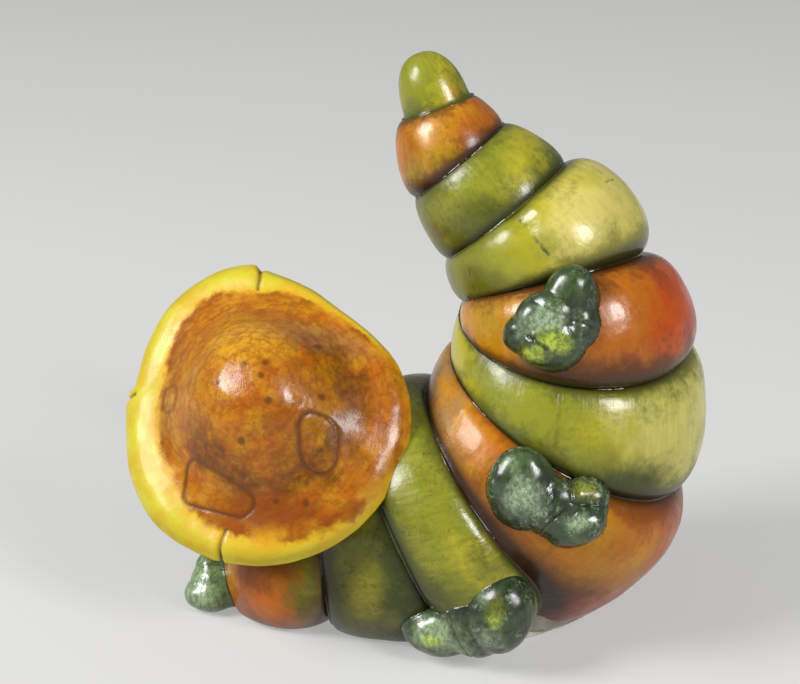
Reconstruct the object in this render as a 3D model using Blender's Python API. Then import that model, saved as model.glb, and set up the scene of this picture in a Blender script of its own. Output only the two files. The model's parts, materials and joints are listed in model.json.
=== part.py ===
# Inchworm figurine in glazed ceramic.
# It stands on z = 0 with its head at -X and its tail rising at +X. Its left side faces -Y.
import math

import bmesh
import bpy
from mathutils import Matrix, Vector

for item in list(bpy.data.objects):
    bpy.data.objects.remove(item, do_unlink=True)

# Sizes are in millimetres and degrees, and turn into metres where a mesh is made
MM = 0.001

# Clearance between pieces that touch
GAP = 0.3

# Fineness of the round shapes
RING_SEGMENTS = 36
RING_STEPS = 9
LOBE_SEGMENTS = 14
LOBE_RINGS = 8
CAP_SEGMENTS = 56
HEAD_SEGMENTS = 28
HEAD_RINGS = 16

# Creases between the rings, from head to tail.
# centre x, y, z, then how far the axis leans up and away, then the radius
CREASES = {
    "neck": (-29.7, 2.7, 30.4, -75.0, 0.0, 11.0),
    "behind_chest": (-17.5, 0.0, 18.5, 5.0, 0.0, 20.4),
    "behind_ring_4": (2.3, -0.2, 24.4, 25.2, 0.0, 28.9),
    "behind_ring_3": (24.6, -1.4, 32.2, 37.8, -4.0, 30.0),
    "behind_rump": (39.1, 2.0, 50.3, 61.0, -7.0, 30.2),
    "behind_ring_2": (39.8, 1.3, 71.5, 83.0, -11.0, 25.4),
    "behind_ring_1": (35.0, 2.0, 83.8, 105.3, 16.0, 20.3),
    "behind_tail_3": (24.3, 5.0, 98.7, 130.0, 9.5, 16.4),
    "behind_tail_2": (13.7, 7.5, 109.9, 131.0, 9.0, 12.3),
    "behind_tail_1": (8.6, 9.6, 121.8, 110.3, 8.0, 7.7),
}

# How far the lowest point of a crease is pulled back towards the head
CREASE_DROOP = {"behind_ring_3": 30.0}
CREASE_DROOP_POWER = 4.5
# How far the far side of a crease is moved towards the tail
CREASE_FAR_SHIFT = {"behind_ring_2": -4.0, "behind_ring_1": 4.0}

# Rings: their two creases and the height of their bulge as a share of their mean width
RINGS = {
    "chest_ring": ("neck", "behind_chest", 0.123),
    "body_ring_4": ("behind_chest", "behind_ring_4", 0.15),
    "body_ring_3": ("behind_ring_4", "behind_ring_3", 0.24),
    "rump_ring": ("behind_ring_3", "behind_rump", 0.25),
    "body_ring_2": ("behind_rump", "behind_ring_2", 0.175),
    "body_ring_1": ("behind_ring_2", "behind_ring_1", 0.25),
    "tail_ring_3": ("behind_ring_1", "behind_tail_3", 0.27),
    "tail_ring_2": ("behind_tail_3", "behind_tail_2", 0.155),
    "tail_ring_1": ("behind_tail_2", "behind_tail_1", 0.18),
}
# A wide side of a ring bulges more than a narrow one
BULGE_GROWTH = 1.4
STRONG_BULGE_GROWTH = {"chest_ring": 3.1, "rump_ring": 1.75}
BULGE_SQUARENESS = 2.2
# A ring whose bulge lies nearer one crease: above 1 is nearer the tail
BULGE_SHIFT = {"chest_ring": 1.65, "rump_ring": 1.6}

TAIL_TIP_LENGTH = 13.2
TAIL_TIP_SWELL = 0.04
# Below 1 makes the point of the tail blunter
TAIL_TIP_BLUNTNESS = 0.8

# Flat foot of bare clay: half widths along its length
BASE_HEIGHT = 1.5
BASE_STATIONS = ((-36.0, 0.0), (-33.5, 6.0), (-27.0, 9.0), (-16.0, 7.5), (-4.0, 12.5), (10.0, 15.5),
                 (24.0, 16.0), (34.0, 11.5), (40.0, 6.0), (43.0, 0.0))
BASE_CURVE_POINTS = 5

# Head, under the hat
HEAD_CENTRE = (-36.0, 3.0, 43.0)
HEAD_RADIUS = 16.5
EYE_RADIUS = 3.4
EYE_SPREAD = 24.0
EYE_RISE = 14.0
NOSE_RADIUS = 2.6
NOSE_RISE = -6.0
# The face looks away from the front, turned this far towards the tail
FACE_TURN = 12.0

# Mushroom cap, worn tipped back
CAP_CENTRE = (-31.7, -10.7, 54.1)
CAP_AXIS = (-0.22, -0.735, 0.64)
CAP_DIAMETER = 69.0
CAP_DOME_HEIGHT = 20.0
# Height above the rim plane at shares of the rim radius, outside then underneath
CAP_OUTSIDE = ((0.06, 19.9), (0.17, 19.2), (0.30, 17.0), (0.42, 13.4), (0.53, 9.4), (0.62, 6.6),
               (0.70, 5.0), (0.80, 3.8), (0.90, 2.9), (0.97, 1.6), (1.0, 0.2))
CAP_INSIDE = ((0.985, -1.4), (0.94, -2.2), (0.86, -1.6), (0.66, 0.4), (0.44, 1.6), (0.20, 2.2))
# Waves that turn the round rim into a soft hand-made outline: count, share of the radius, turn
CAP_WAVES = ((2, 0.060, -48.0), (3, 0.046, 1.0), (4, 0.020, 29.0))
# The dome's middle lies off the middle of the rim, across and up
CAP_DOME_OFFSET = (1.5, 0.0)

# Legs: the crease that each sits at, then its lobes, with the way from that crease's centre,
# half sizes and lean in the side view. The right legs mirror the left ones across the body.
LEG_CREASES = {1: "neck", 2: "behind_ring_3", 3: "behind_rump", 4: "behind_ring_2"}
LEGS = {
    "leg_left_1": (
        ((-15.9, -4.2, -26.0), (6.8, 6.0, 4.4), 0.0),
        ((-15.8, -1.0, -22.8), (4.2, 5.0, 5.8), -14.0),
        ((-10.4, -0.6, -23.4), (6.0, 6.0, 5.5), 0.0),
    ),
    "leg_left_2": (
        ((-1.8, -31.2, -16.8), (7.4, 6.8, 9.4), 14.0),
        ((-14.2, -25.1, -24.0), (9.4, 6.4, 6.2), -4.0),
        ((-6.8, -28.6, -20.6), (8.8, 6.4, 7.8), 0.0),
    ),
    "leg_left_3": (
        ((-12.1, -34.0, -4.1), (7.4, 5.4, 9.4), -8.0),
        ((-0.3, -36.0, -11.9), (6.8, 4.6, 4.4), -14.0),
        ((1.5, -33.0, -5.7), (5.6, 3.6, 2.9), 6.0),
        ((-5.6, -35.4, -8.0), (6.4, 4.8, 6.6), 0.0),
        ((0.0, -33.6, -8.6), (5.0, 3.6, 3.4), 0.0),
    ),
    "leg_left_4": (
        ((-3.1, -25.1, 15.6), (5.8, 5.0, 7.8), 10.0),
        ((-7.2, -28.1, 7.2), (7.2, 5.2, 6.4), -6.0),
        ((-13.4, -26.1, 8.1), (4.0, 3.8, 4.4), 0.0),
        ((-6.4, -26.7, 12.1), (6.4, 4.8, 6.2), 35.0),
    ),
}
LEG_CARRIERS = {
    1: ("chest_ring",),
    2: ("body_ring_4", "body_ring_3", "rump_ring"),
    3: ("rump_ring", "body_ring_2"),
    4: ("body_ring_2", "body_ring_1", "tail_ring_3"),
}
# The ring whose middle plane mirrors each pair of legs, and how far out the right leg then moves
LEG_MIRRORS = {2: ("body_ring_3", 1.0), 3: ("rump_ring", 2.4), 4: ("body_ring_1", -1.2)}
RIGHT_FRONT_LEG = (
    ((5.5, 20.3, -25.0), (6.2, 6.2, 5.2), 0.0),
    ((4.0, 14.6, -22.4), (5.5, 6.0, 5.5), 0.0),
)
# The lowest feet stay this far above the table
FOOT_LIFT = 0.3

GLAZES = {
    "olive_green_glaze": (0.20, 0.22, 0.03),
    "pale_green_glaze": (0.50, 0.48, 0.14),
    "orange_glaze": (0.50, 0.11, 0.01),
    "brown_glaze": (0.34, 0.11, 0.01),
    "dark_green_glaze": (0.03, 0.06, 0.03),
    "black_glaze": (0.01, 0.01, 0.01),
    "red_glaze": (0.40, 0.03, 0.01),
    "bare_clay": (0.70, 0.66, 0.58),
}
RING_GLAZES = {
    "chest_ring": "orange_glaze",
    "body_ring_4": "olive_green_glaze",
    "body_ring_3": "olive_green_glaze",
    "rump_ring": "orange_glaze",
    "body_ring_2": "olive_green_glaze",
    "body_ring_1": "orange_glaze",
    "tail_ring_3": "pale_green_glaze",
    "tail_ring_2": "olive_green_glaze",
    "tail_ring_1": "orange_glaze",
}
GLAZE_ROUGHNESS = 0.15
CLAY_ROUGHNESS = 0.8


def own_material(node_name, glaze):
    material = bpy.data.materials.new(node_name + "_" + glaze)
    material.use_nodes = True
    shader = material.node_tree.nodes["Principled BSDF"]
    shader.inputs["Base Color"].default_value = (*GLAZES[glaze], 1.0)
    rough = CLAY_ROUGHNESS if glaze == "bare_clay" else GLAZE_ROUGHNESS
    shader.inputs["Roughness"].default_value = rough
    return material


# An object at origin (in millimetres) from a bmesh whose points are measured from that origin
def object_from(bm, name, origin, smooth=True):
    bmesh.ops.recalc_face_normals(bm, faces=bm.faces[:])
    bmesh.ops.scale(bm, vec=(MM, MM, MM), verts=bm.verts[:])
    mesh = bpy.data.meshes.new(name)
    bm.to_mesh(mesh)
    bm.free()
    mesh.polygons.foreach_set("use_smooth", [smooth] * len(mesh.polygons))
    obj = bpy.data.objects.new(name, mesh)
    obj.location = Vector(origin) * MM
    bpy.context.collection.objects.link(obj)
    return obj


# Loops of points joined into a closed solid, with a fan at each end
def loft(loops, first_centre, last_centre):
    bm = bmesh.new()
    rows = [[bm.verts.new(point) for point in loop] for loop in loops]
    count = len(rows[0])
    for low, high in zip(rows, rows[1:]):
        for i in range(count):
            j = (i + 1) % count
            bm.faces.new((low[i], low[j], high[j], high[i]))
    for row, centre in ((rows[0], first_centre), (rows[-1], last_centre)):
        middle = bm.verts.new(centre)
        for i in range(count):
            bm.faces.new((row[i], row[(i + 1) % count], middle))
    return bm


# Everything on the inner side of a plane is cut off and the cut is closed
def cut_off(bm, point, normal):
    geometry = bm.verts[:] + bm.edges[:] + bm.faces[:]
    cut = bmesh.ops.bisect_plane(bm, geom=geometry, plane_co=point, plane_no=normal, clear_inner=True)
    edges = [item for item in cut["geom_cut"] if isinstance(item, bmesh.types.BMEdge)]
    if edges:
        bmesh.ops.contextual_create(bm, geom=edges)
    return bm


def direction(lean_up, lean_away):
    up, away = math.radians(lean_up), math.radians(lean_away)
    return Vector((math.cos(up) * math.cos(away), math.sin(away), math.sin(up) * math.cos(away)))


# Centre, axis and points of a crease, moved along its axis by shift
def crease_loop(name, shift, drooping=True):
    x, y, z, lean_up, lean_away, radius = CREASES[name]
    axis = direction(lean_up, lean_away)
    near = Vector((0.0, -1.0, 0.0))
    near = (near - axis * near.dot(axis)).normalized()
    top = near.cross(axis)
    centre = Vector((x, y, z)) + axis * shift
    droop = CREASE_DROOP.get(name, 0.0) if drooping else 0.0
    far_shift = CREASE_FAR_SHIFT.get(name, 0.0)
    points = []
    for i in range(RING_SEGMENTS):
        turn = 2.0 * math.pi * i / RING_SEGMENTS
        point = centre + radius * (math.cos(turn) * near + math.sin(turn) * top)
        low = max(0.0, -math.sin(turn))
        far = max(0.0, -math.cos(turn))
        points.append(point + axis * (far_shift * far ** 2 - droop * low ** CREASE_DROOP_POWER))
    return centre, axis, points


# A ring bulges out between its two creases
def ring_mesh(name, origin):
    front, back, bulge = RINGS[name]
    front_centre, _, front_loop = crease_loop(front, GAP / 2.0)
    back_centre, _, back_loop = crease_loop(back, -GAP / 2.0)
    level_loops = [crease_loop(crease, 0.0, drooping=False)[2] for crease in (front, back)]
    widths = [(b - a).length for a, b in zip(*level_loops)]
    mean = sum(widths) / len(widths)
    growth = STRONG_BULGE_GROWTH.get(name, BULGE_GROWTH)
    middle = (front_centre + back_centre) / 2.0
    outward = []
    for a, b, width in zip(front_loop, back_loop, widths):
        along = (b - a).normalized()
        out = (a + b) / 2.0 - middle
        out = (out - along * out.dot(along)).normalized()
        outward.append(out * bulge * mean * (width / mean) ** growth)
    loops = []
    for step in range(RING_STEPS + 1):
        share = (1.0 - math.cos(math.pi * step / RING_STEPS)) / 2.0
        side = abs(2.0 * share ** BULGE_SHIFT.get(name, 1.0) - 1.0)
        rise = (1.0 - side ** BULGE_SQUARENESS) ** (1.0 / BULGE_SQUARENESS)
        loops.append([a.lerp(b, share) + out * rise - origin
                      for a, b, out in zip(front_loop, back_loop, outward)])
    bm = loft(loops, front_centre - origin, back_centre - origin)
    bmesh.ops.recalc_face_normals(bm, faces=bm.faces[:])
    foot = Vector((0.0, 0.0, BASE_HEIGHT + GAP)) - origin
    if min(v.co.z for v in bm.verts) < foot.z:
        cut_off(bm, foot, (0.0, 0.0, 1.0))
    return bm


def ring_origin(name):
    front, back, _ = RINGS[name]
    return (Vector(CREASES[front][:3]) + Vector(CREASES[back][:3])) / 2.0


def make_ring(name):
    origin = ring_origin(name)
    return object_from(ring_mesh(name, origin), name, origin)


# A copy of a solid grown evenly on all sides, to cut the clearance into what sits on it
def grown(source, amount):
    bm = bmesh.new()
    bm.from_mesh(source.data)
    bm.normal_update()
    moves = [v.normal * amount * MM * v.calc_shell_factor() for v in bm.verts]
    for v, move in zip(bm.verts, moves):
        v.co += move
    mesh = bpy.data.meshes.new(source.name + "_room")
    bm.to_mesh(mesh)
    bm.free()
    obj = bpy.data.objects.new(source.name + "_room", mesh)
    obj.location = source.location
    bpy.context.collection.objects.link(obj)
    return obj


# Solids are added to or cut from the target one after the other, and are used up by it
def combine(target, others, operation):
    for other in others:
        modifier = target.modifiers.new(operation.lower(), "BOOLEAN")
        modifier.operation = operation
        modifier.solver = "EXACT"
        modifier.object = other
    bpy.context.view_layer.update()
    evaluated = target.evaluated_get(bpy.context.evaluated_depsgraph_get())
    mesh = bpy.data.meshes.new_from_object(evaluated)
    target.modifiers.clear()
    target.data = mesh
    mesh.polygons.foreach_set("use_smooth", [True] * len(mesh.polygons))
    for other in others:
        bpy.data.objects.remove(other, do_unlink=True)
    return target


def ellipsoid(name, centre, half_sizes, lean, mirror=Matrix.Identity(4)):
    bm = bmesh.new()
    bmesh.ops.create_uvsphere(bm, u_segments=LOBE_SEGMENTS, v_segments=LOBE_RINGS, radius=1.0)
    shape = Matrix.Rotation(math.radians(lean), 4, "Y") @ Matrix.Diagonal((*half_sizes, 1.0))
    bmesh.ops.transform(bm, matrix=mirror.to_3x3().to_4x4() @ shape, verts=bm.verts[:])
    centre = mirror @ Vector(centre)
    low = Vector((0.0, 0.0, FOOT_LIFT - centre[2]))
    if min(v.co.z for v in bm.verts) < low.z:
        cut_off(bm, low, (0.0, 0.0, 1.0))
    return object_from(bm, name, centre)


# Everything of a solid that isn't its largest closed body is removed
def keep_largest(obj):
    bm = bmesh.new()
    bm.from_mesh(obj.data)
    left = set(bm.verts)
    bodies = []
    while left:
        body, reach = set(), [left.pop()]
        while reach:
            vert = reach.pop()
            body.add(vert)
            for edge in vert.link_edges:
                other = edge.other_vert(vert)
                if other in left:
                    left.remove(other)
                    reach.append(other)
        bodies.append(body)
    largest = max(bodies, key=len)
    bmesh.ops.delete(bm, geom=[v for v in bm.verts if v not in largest], context="VERTS")
    bm.to_mesh(obj.data)
    bm.free()
    return obj


# A leg is made of lobes that grow into each other and sit on the rings that carry it
def make_leg(name, lobes, crease, carriers, mirror=Matrix.Identity(4)):
    seat = Vector(CREASES[crease][:3])
    solids = [ellipsoid(name + "_lobe_%d" % i, seat + Vector(way), half_sizes, lean, mirror)
              for i, (way, half_sizes, lean) in enumerate(lobes)]
    leg = combine(solids[0], solids[1:], "UNION")
    leg.name = name
    combine(leg, [grown(ring, GAP) for ring in carriers], "DIFFERENCE")
    return keep_largest(leg)


# Reflection in the plane that splits a ring into its left and right halves, then a move outwards
def middle_mirror(name, outward):
    front, back, _ = RINGS[name]
    across = Vector((0.0, 0.0, 0.0))
    for crease in (front, back):
        centre, _, points = crease_loop(crease, 0.0)
        across += (points[0] - centre).normalized()
    across.normalize()
    flip = Matrix.Scale(-1.0, 4, across)
    place = Matrix.Translation(ring_origin(name))
    return Matrix.Translation(-across * outward) @ place @ flip @ place.inverted()


# The tip closes the last crease with a rounded point
def make_tail_tip():
    centre, axis, loop = crease_loop("behind_tail_1", GAP / 2.0)
    loops = []
    for step in range(RING_STEPS):
        share = step / RING_STEPS
        angle = share * math.pi / 2.0
        swell = 1.0 + TAIL_TIP_SWELL * math.sin(math.pi * share)
        size = math.cos(angle) ** TAIL_TIP_BLUNTNESS * swell
        rise = axis * TAIL_TIP_LENGTH * math.sin(angle)
        loops.append([(point - centre) * size + rise for point in loop])
    bm = loft(loops, Vector((0.0, 0.0, 0.0)), axis * TAIL_TIP_LENGTH)
    return object_from(bm, "tail_tip", centre)


def make_head():
    centre = Vector(HEAD_CENTRE)
    neck, axis, _ = crease_loop("neck", -GAP / 2.0)
    bm = bmesh.new()
    bmesh.ops.create_uvsphere(bm, u_segments=HEAD_SEGMENTS, v_segments=HEAD_RINGS, radius=HEAD_RADIUS)
    cut_off(bm, neck - centre, -axis)
    return object_from(bm, "head", centre)


def make_face_piece(name, head, side, rise, radius):
    turn = math.radians(90.0 - FACE_TURN + side)
    up = math.radians(rise)
    out = Vector((math.cos(turn) * math.cos(up), math.sin(turn) * math.cos(up), math.sin(up)))
    piece = ellipsoid(name, Vector(HEAD_CENTRE) + out * HEAD_RADIUS, (radius, radius, radius), 0.0)
    combine(piece, [grown(head, GAP)], "DIFFERENCE")
    return keep_largest(piece)


def make_cap(carriers):
    axis = Vector(CAP_AXIS).normalized()
    side = Vector((0.0, 0.0, 1.0)).cross(axis).normalized()
    high = axis.cross(side)
    loops = []
    offset = side * CAP_DOME_OFFSET[0] + high * CAP_DOME_OFFSET[1]
    for share, height in CAP_OUTSIDE + CAP_INSIDE:
        loop = []
        for i in range(CAP_SEGMENTS):
            turn = 2.0 * math.pi * i / CAP_SEGMENTS
            wave = sum(part * math.cos(count * (turn - math.radians(shift)))
                       for count, part, shift in CAP_WAVES)
            reach = share * (1.0 + wave * share ** 2) * CAP_DIAMETER / 2.0
            loop.append((side * math.cos(turn) + high * math.sin(turn)) * reach
                        + offset * (1.0 - share ** 2) + axis * height)
        loops.append(loop)
    bm = loft(loops, offset + axis * CAP_DOME_HEIGHT, offset + axis * CAP_INSIDE[-1][1])
    cap = object_from(bm, "mushroom_cap", CAP_CENTRE)
    combine(cap, [grown(carrier, GAP) for carrier in carriers], "DIFFERENCE")
    return keep_largest(cap)


# Points of a smooth closed curve through the stations of the base
def base_outline():
    near = [Vector((x, -half, 0.0)) for x, half in BASE_STATIONS]
    far = [Vector((x, half, 0.0)) for x, half in reversed(BASE_STATIONS[1:-1])]
    corners = near + far
    count = len(corners)
    points = []
    for i in range(count):
        p0, p1, p2, p3 = (corners[(i + k - 1) % count] for k in range(4))
        for step in range(BASE_CURVE_POINTS):
            t = step / BASE_CURVE_POINTS
            points.append(0.5 * (2.0 * p1 + (p2 - p0) * t + (2.0 * p0 - 5.0 * p1 + 4.0 * p2 - p3) * t ** 2
                                 + (3.0 * p1 - 3.0 * p2 + p3 - p0) * t ** 3))
    return points


def make_base():
    bm = bmesh.new()
    face = bm.faces.new([bm.verts.new(point) for point in base_outline()])
    grown_face = bmesh.ops.extrude_face_region(bm, geom=[face])
    top = [item for item in grown_face["geom"] if isinstance(item, bmesh.types.BMVert)]
    bmesh.ops.translate(bm, vec=(0.0, 0.0, BASE_HEIGHT), verts=top)
    return object_from(bm, "base", (0.0, 0.0, 0.0), smooth=False)


def give(obj, glaze):
    obj.data.materials.clear()
    obj.data.materials.append(own_material(obj.name, glaze))


rings = {name: make_ring(name) for name in RINGS}
head = make_head()
cap = make_cap([head, rings["body_ring_3"], rings["body_ring_4"]])
eyes = [make_face_piece("left_eye", head, EYE_SPREAD, EYE_RISE, EYE_RADIUS),
        make_face_piece("right_eye", head, -EYE_SPREAD, EYE_RISE, EYE_RADIUS)]
nose = make_face_piece("nose", head, 0.0, NOSE_RISE, NOSE_RADIUS)

legs = []
for name, lobes in LEGS.items():
    number = int(name[-1])
    crease = LEG_CREASES[number]
    carriers = [rings[carrier] for carrier in LEG_CARRIERS[number]]
    legs.append(make_leg(name, lobes, crease, carriers))
    right_name = "leg_right_%d" % number
    if number in LEG_MIRRORS:
        mirror = middle_mirror(*LEG_MIRRORS[number])
        legs.append(make_leg(right_name, lobes, crease, carriers, mirror))
    else:
        legs.append(make_leg(right_name, RIGHT_FRONT_LEG, crease, carriers))

for name, ring in rings.items():
    give(ring, RING_GLAZES[name])
give(make_tail_tip(), "olive_green_glaze")
give(head, "olive_green_glaze")
give(cap, "brown_glaze")
for eye in eyes:
    give(eye, "black_glaze")
give(nose, "red_glaze")
for leg in legs:
    give(leg, "dark_green_glaze")
give(make_base(), "bare_clay")
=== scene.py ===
import json
import math

import bmesh
import bpy
import numpy as np
from mathutils import Matrix, Vector, noise
from mathutils.bvhtree import BVHTree


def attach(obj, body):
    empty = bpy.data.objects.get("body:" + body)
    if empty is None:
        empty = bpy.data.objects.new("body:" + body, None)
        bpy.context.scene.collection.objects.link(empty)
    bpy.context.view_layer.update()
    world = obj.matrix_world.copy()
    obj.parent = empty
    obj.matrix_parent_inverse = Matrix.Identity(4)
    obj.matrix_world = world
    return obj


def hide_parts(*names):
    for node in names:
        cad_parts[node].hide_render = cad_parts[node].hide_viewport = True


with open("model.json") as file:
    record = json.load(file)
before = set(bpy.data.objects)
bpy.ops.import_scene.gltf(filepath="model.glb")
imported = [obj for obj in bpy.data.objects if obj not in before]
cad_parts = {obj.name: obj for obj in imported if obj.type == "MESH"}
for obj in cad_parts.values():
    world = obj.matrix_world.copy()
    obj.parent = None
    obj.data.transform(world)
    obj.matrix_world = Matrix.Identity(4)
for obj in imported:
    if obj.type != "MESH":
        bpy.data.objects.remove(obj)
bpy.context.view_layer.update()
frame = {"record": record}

mm = 0.001  # sizes below are in millimetres, angles in degrees


# Colours as they look on the glazed figurine, in sRGB out of 255
palette = {
    "yellowGreen": (168, 158, 36),
    "leaf": (132, 134, 34),
    "olive": (104, 104, 26),
    "moss": (66, 72, 18),
    "darkMoss": (34, 38, 12),
    "lime": (170, 190, 62),
    "butter": (196, 188, 96),
    "cream": (202, 188, 100),
    "honey": (184, 126, 16),
    "gold": (206, 150, 26),
    "amber": (176, 98, 10),
    "orange": (188, 78, 6),
    "marigold": (220, 116, 2),
    "redOrange": (176, 54, 10),
    "rust": (128, 58, 10),
    "brown": (92, 50, 12),
    "darkBrown": (44, 26, 10),
    "greyBrown": (136, 110, 74),
    "lemon": (190, 180, 42),
    "deepLemon": (186, 158, 28),
    "bottle": (46, 64, 40),
    "darkBottle": (16, 26, 14),
    "fern": (88, 112, 54),
    "celadon": (158, 178, 142),
    "sage": (108, 130, 82),
    "black": (14, 13, 12),
    "white": (228, 226, 218),
    "red": (168, 40, 24),
    "clay": (222, 216, 202),
    "claySoil": (172, 162, 142),
    "floor": (150, 149, 147),
    "backdrop": (236, 236, 234),
}


def colour(name):
    parts = [c / 255 for c in palette[name]]
    linear = [c / 12.92 if c <= 0.04045 else ((c + 0.055) / 1.055) ** 2.4 for c in parts]
    return (*linear, 1.0)


# Few words for wiring nodes, the same for shaders and geometry
class Wiring:
    def __init__(self, tree):
        self.tree = tree

    def add(self, kind, **settings):
        node = self.tree.nodes.new(kind)
        for key, value in settings.items():
            setattr(node, key, value)
        count = len(self.tree.nodes) - 1
        node.location = (190 * (count % 14), -280 * (count // 14))
        return node

    def plug(self, socket, value):
        if isinstance(value, bpy.types.NodeSocket):
            self.tree.links.new(value, socket)
        else:
            socket.default_value = value

    # A node with its inputs filled, by name or by number
    def made(self, kind, inputs, **settings):
        node = self.add(kind, **settings)
        for key, value in inputs.items():
            self.plug(node.inputs[key], value)
        return node

    def math(self, operation, *values, clamp=False):
        inputs = dict(enumerate(values))
        return self.made("ShaderNodeMath", inputs, operation=operation, use_clamp=clamp).outputs[0]

    def times(self, a, b, clamp=False):
        return self.math("MULTIPLY", a, b, clamp=clamp)

    def timesPlus(self, a, b, added, clamp=False):
        return self.math("MULTIPLY_ADD", a, b, added, clamp=clamp)

    def inverse(self, value):
        return self.math("DIVIDE", 1.0, value)

    def centred(self, value):
        return self.math("SUBTRACT", value, 0.5)

    def vector(self, operation, *values):
        node = self.made("ShaderNodeVectorMath", dict(enumerate(values)), operation=operation)
        single = operation in ("LENGTH", "DISTANCE", "DOT_PRODUCT")
        return node.outputs["Value" if single else "Vector"]

    def scaled(self, vector, amount):
        node = self.made("ShaderNodeVectorMath", {0: vector, "Scale": amount}, operation="SCALE")
        return node.outputs["Vector"]

    def parts(self, vector):
        return self.made("ShaderNodeSeparateXYZ", {0: vector}).outputs

    def joined(self, x, y, z):
        return self.made("ShaderNodeCombineXYZ", {0: x, 1: y, 2: z}).outputs[0]

    def noise(self, vector, scale, detail=2.0, roughness=0.5):
        inputs = {"Vector": vector, "Scale": scale, "Detail": detail, "Roughness": roughness}
        return self.made("ShaderNodeTexNoise", inputs).outputs[0]

    def spread(self, value, low, high, toLow=0.0, toHigh=1.0, smooth=True):
        inputs = {0: value, 1: low, 2: high, 3: toLow, 4: toHigh}
        curve = "SMOOTHSTEP" if smooth else "LINEAR"
        return self.made("ShaderNodeMapRange", inputs, interpolation_type=curve).outputs[0]

    def mix(self, share, a, b):
        return self.made("ShaderNodeMix", {0: share, 6: a, 7: b}, data_type="RGBA").outputs[2]

    # Between two named colours
    def between(self, share, a, b):
        return self.mix(share, colour(a), colour(b))

    # Paint with a named colour over it, as far as the mask and its share say
    def layer(self, paint, mask, share, name, clamp=False):
        return self.mix(self.times(mask, share, clamp=clamp), paint, colour(name))

    def group(self, tree, **values):
        return self.made("ShaderNodeGroup", values, node_tree=tree).outputs

    # The end of a geometry tree
    def finish(self, geometry, glaze, out):
        real = self.made("GeometryNodeRealizeInstances", {0: geometry})
        painted = self.made("GeometryNodeSetMaterial", {"Geometry": real.outputs[0], "Material": glaze})
        self.plug(out["Geometry"], painted.outputs[0])


# A node tree with named inputs and outputs, given as name: (socket type, default)
def newTree(kind, name, takes, gives):
    tree = bpy.data.node_groups.new(name, kind)
    for label, (socketType, default) in takes.items():
        socket = tree.interface.new_socket(label, in_out="INPUT", socket_type=socketType)
        if default is not None:
            socket.default_value = default
    for label, socketType in gives.items():
        tree.interface.new_socket(label, in_out="OUTPUT", socket_type=socketType)
    w = Wiring(tree)
    return tree, w, w.add("NodeGroupInput").outputs, w.add("NodeGroupOutput").inputs


number, arrow, whole = "NodeSocketFloat", "NodeSocketVector", "NodeSocketInt"
glazeSocket, shapeOut = ("NodeSocketMaterial", None), {"Geometry": "NodeSocketGeometry"}

# Patterns and relief in the glaze. Scales are per millimetre, heights are shares of the bump's depth
brushwork = {
    "grainScale": 0.62,
    "dabbingScale": 0.95,
    "crowdScale": 0.16,  # where dabs and specks crowd together
    "crowdOffset": (31.0, 7.0, 12.0),
    "rippleScale": 0.42,
    "peelScale": 1.9,
    "rippleHeight": 0.34,
    "peelHeight": 0.06,
    "strokeHeight": 0.24,
}
gloss = {
    "specular": 0.38,
    "coat": 0.15,
    "coatRoughness": 0.13,
    "bump": 0.65,
    "bumpDepth": 0.5,  # millimetres
}
# What goes for a piece whose own look doesn't say: colour and share of each layer, and the finish
plainLook = {
    "mottle": ("moss", 0.45),
    "streak": ("moss", 0.2),
    "shade": ("moss", 0.75),
    "line": ("darkMoss", 0.9),
    "footTintAndShade": ("brown", 0.0),
    "specks": ("darkMoss", 0.6),
    "patchSize": 8.0,
    "wander": 8.0,
    "footTop": 15.0,  # the foot's colour and painted shade fade out up to this height
    "roughness": (0.22, 0.34),
    "bump": gloss["bump"],
    "specular": gloss["specular"],
}


# Brushed, clouded and speckled glaze, for every glazed piece. Place is in millimetres
def makeGlazeTexture():
    takes = {"Place": (arrow, None), "Strokes": (arrow, None), "Patch Size": (number, 9.0),
             "Stroke Width": (number, 1.3), "Speck Size": (number, 0.5)}
    gives = {"Clouds": number, "Streaks": number, "Grain": number, "Mottle": number, "Specks": number,
             "Height": number}
    tree, w, given, out = newTree("ShaderNodeTree", "brushedGlaze", takes, gives)
    clouds = w.noise(given["Place"], w.inverse(given["Patch Size"]), 3.0, 0.55)
    w.plug(out["Clouds"], w.spread(clouds, 0.34, 0.66))
    strokes = w.noise(given["Strokes"], w.inverse(given["Stroke Width"]), 4.0, 0.6)
    w.plug(out["Streaks"], w.spread(strokes, 0.36, 0.68))
    w.plug(out["Grain"], w.spread(w.noise(given["Place"], brushwork["grainScale"], 6.0, 0.72), 0.34, 0.68))
    dots = w.noise(given["Place"], w.inverse(given["Speck Size"]), 1.0)
    crowd = w.noise(w.vector("ADD", given["Place"], brushwork["crowdOffset"]), brushwork["crowdScale"])
    dabbing = w.spread(w.noise(given["Place"], brushwork["dabbingScale"], 4.0, 0.7), 0.47, 0.70)
    w.plug(out["Mottle"], w.times(dabbing, w.spread(crowd, 0.42, 0.60)))
    specks = w.times(w.spread(dots, 0.66, 0.74), w.spread(crowd, 0.40, 0.62))
    w.plug(out["Specks"], specks)
    ripple = w.noise(given["Place"], brushwork["rippleScale"])
    peel = w.noise(given["Place"], brushwork["peelScale"], 2.0, 0.6)
    height = w.timesPlus(ripple, brushwork["rippleHeight"], w.times(peel, brushwork["peelHeight"]))
    w.plug(out["Height"], w.timesPlus(strokes, brushwork["strokeHeight"], height))
    return tree
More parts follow.
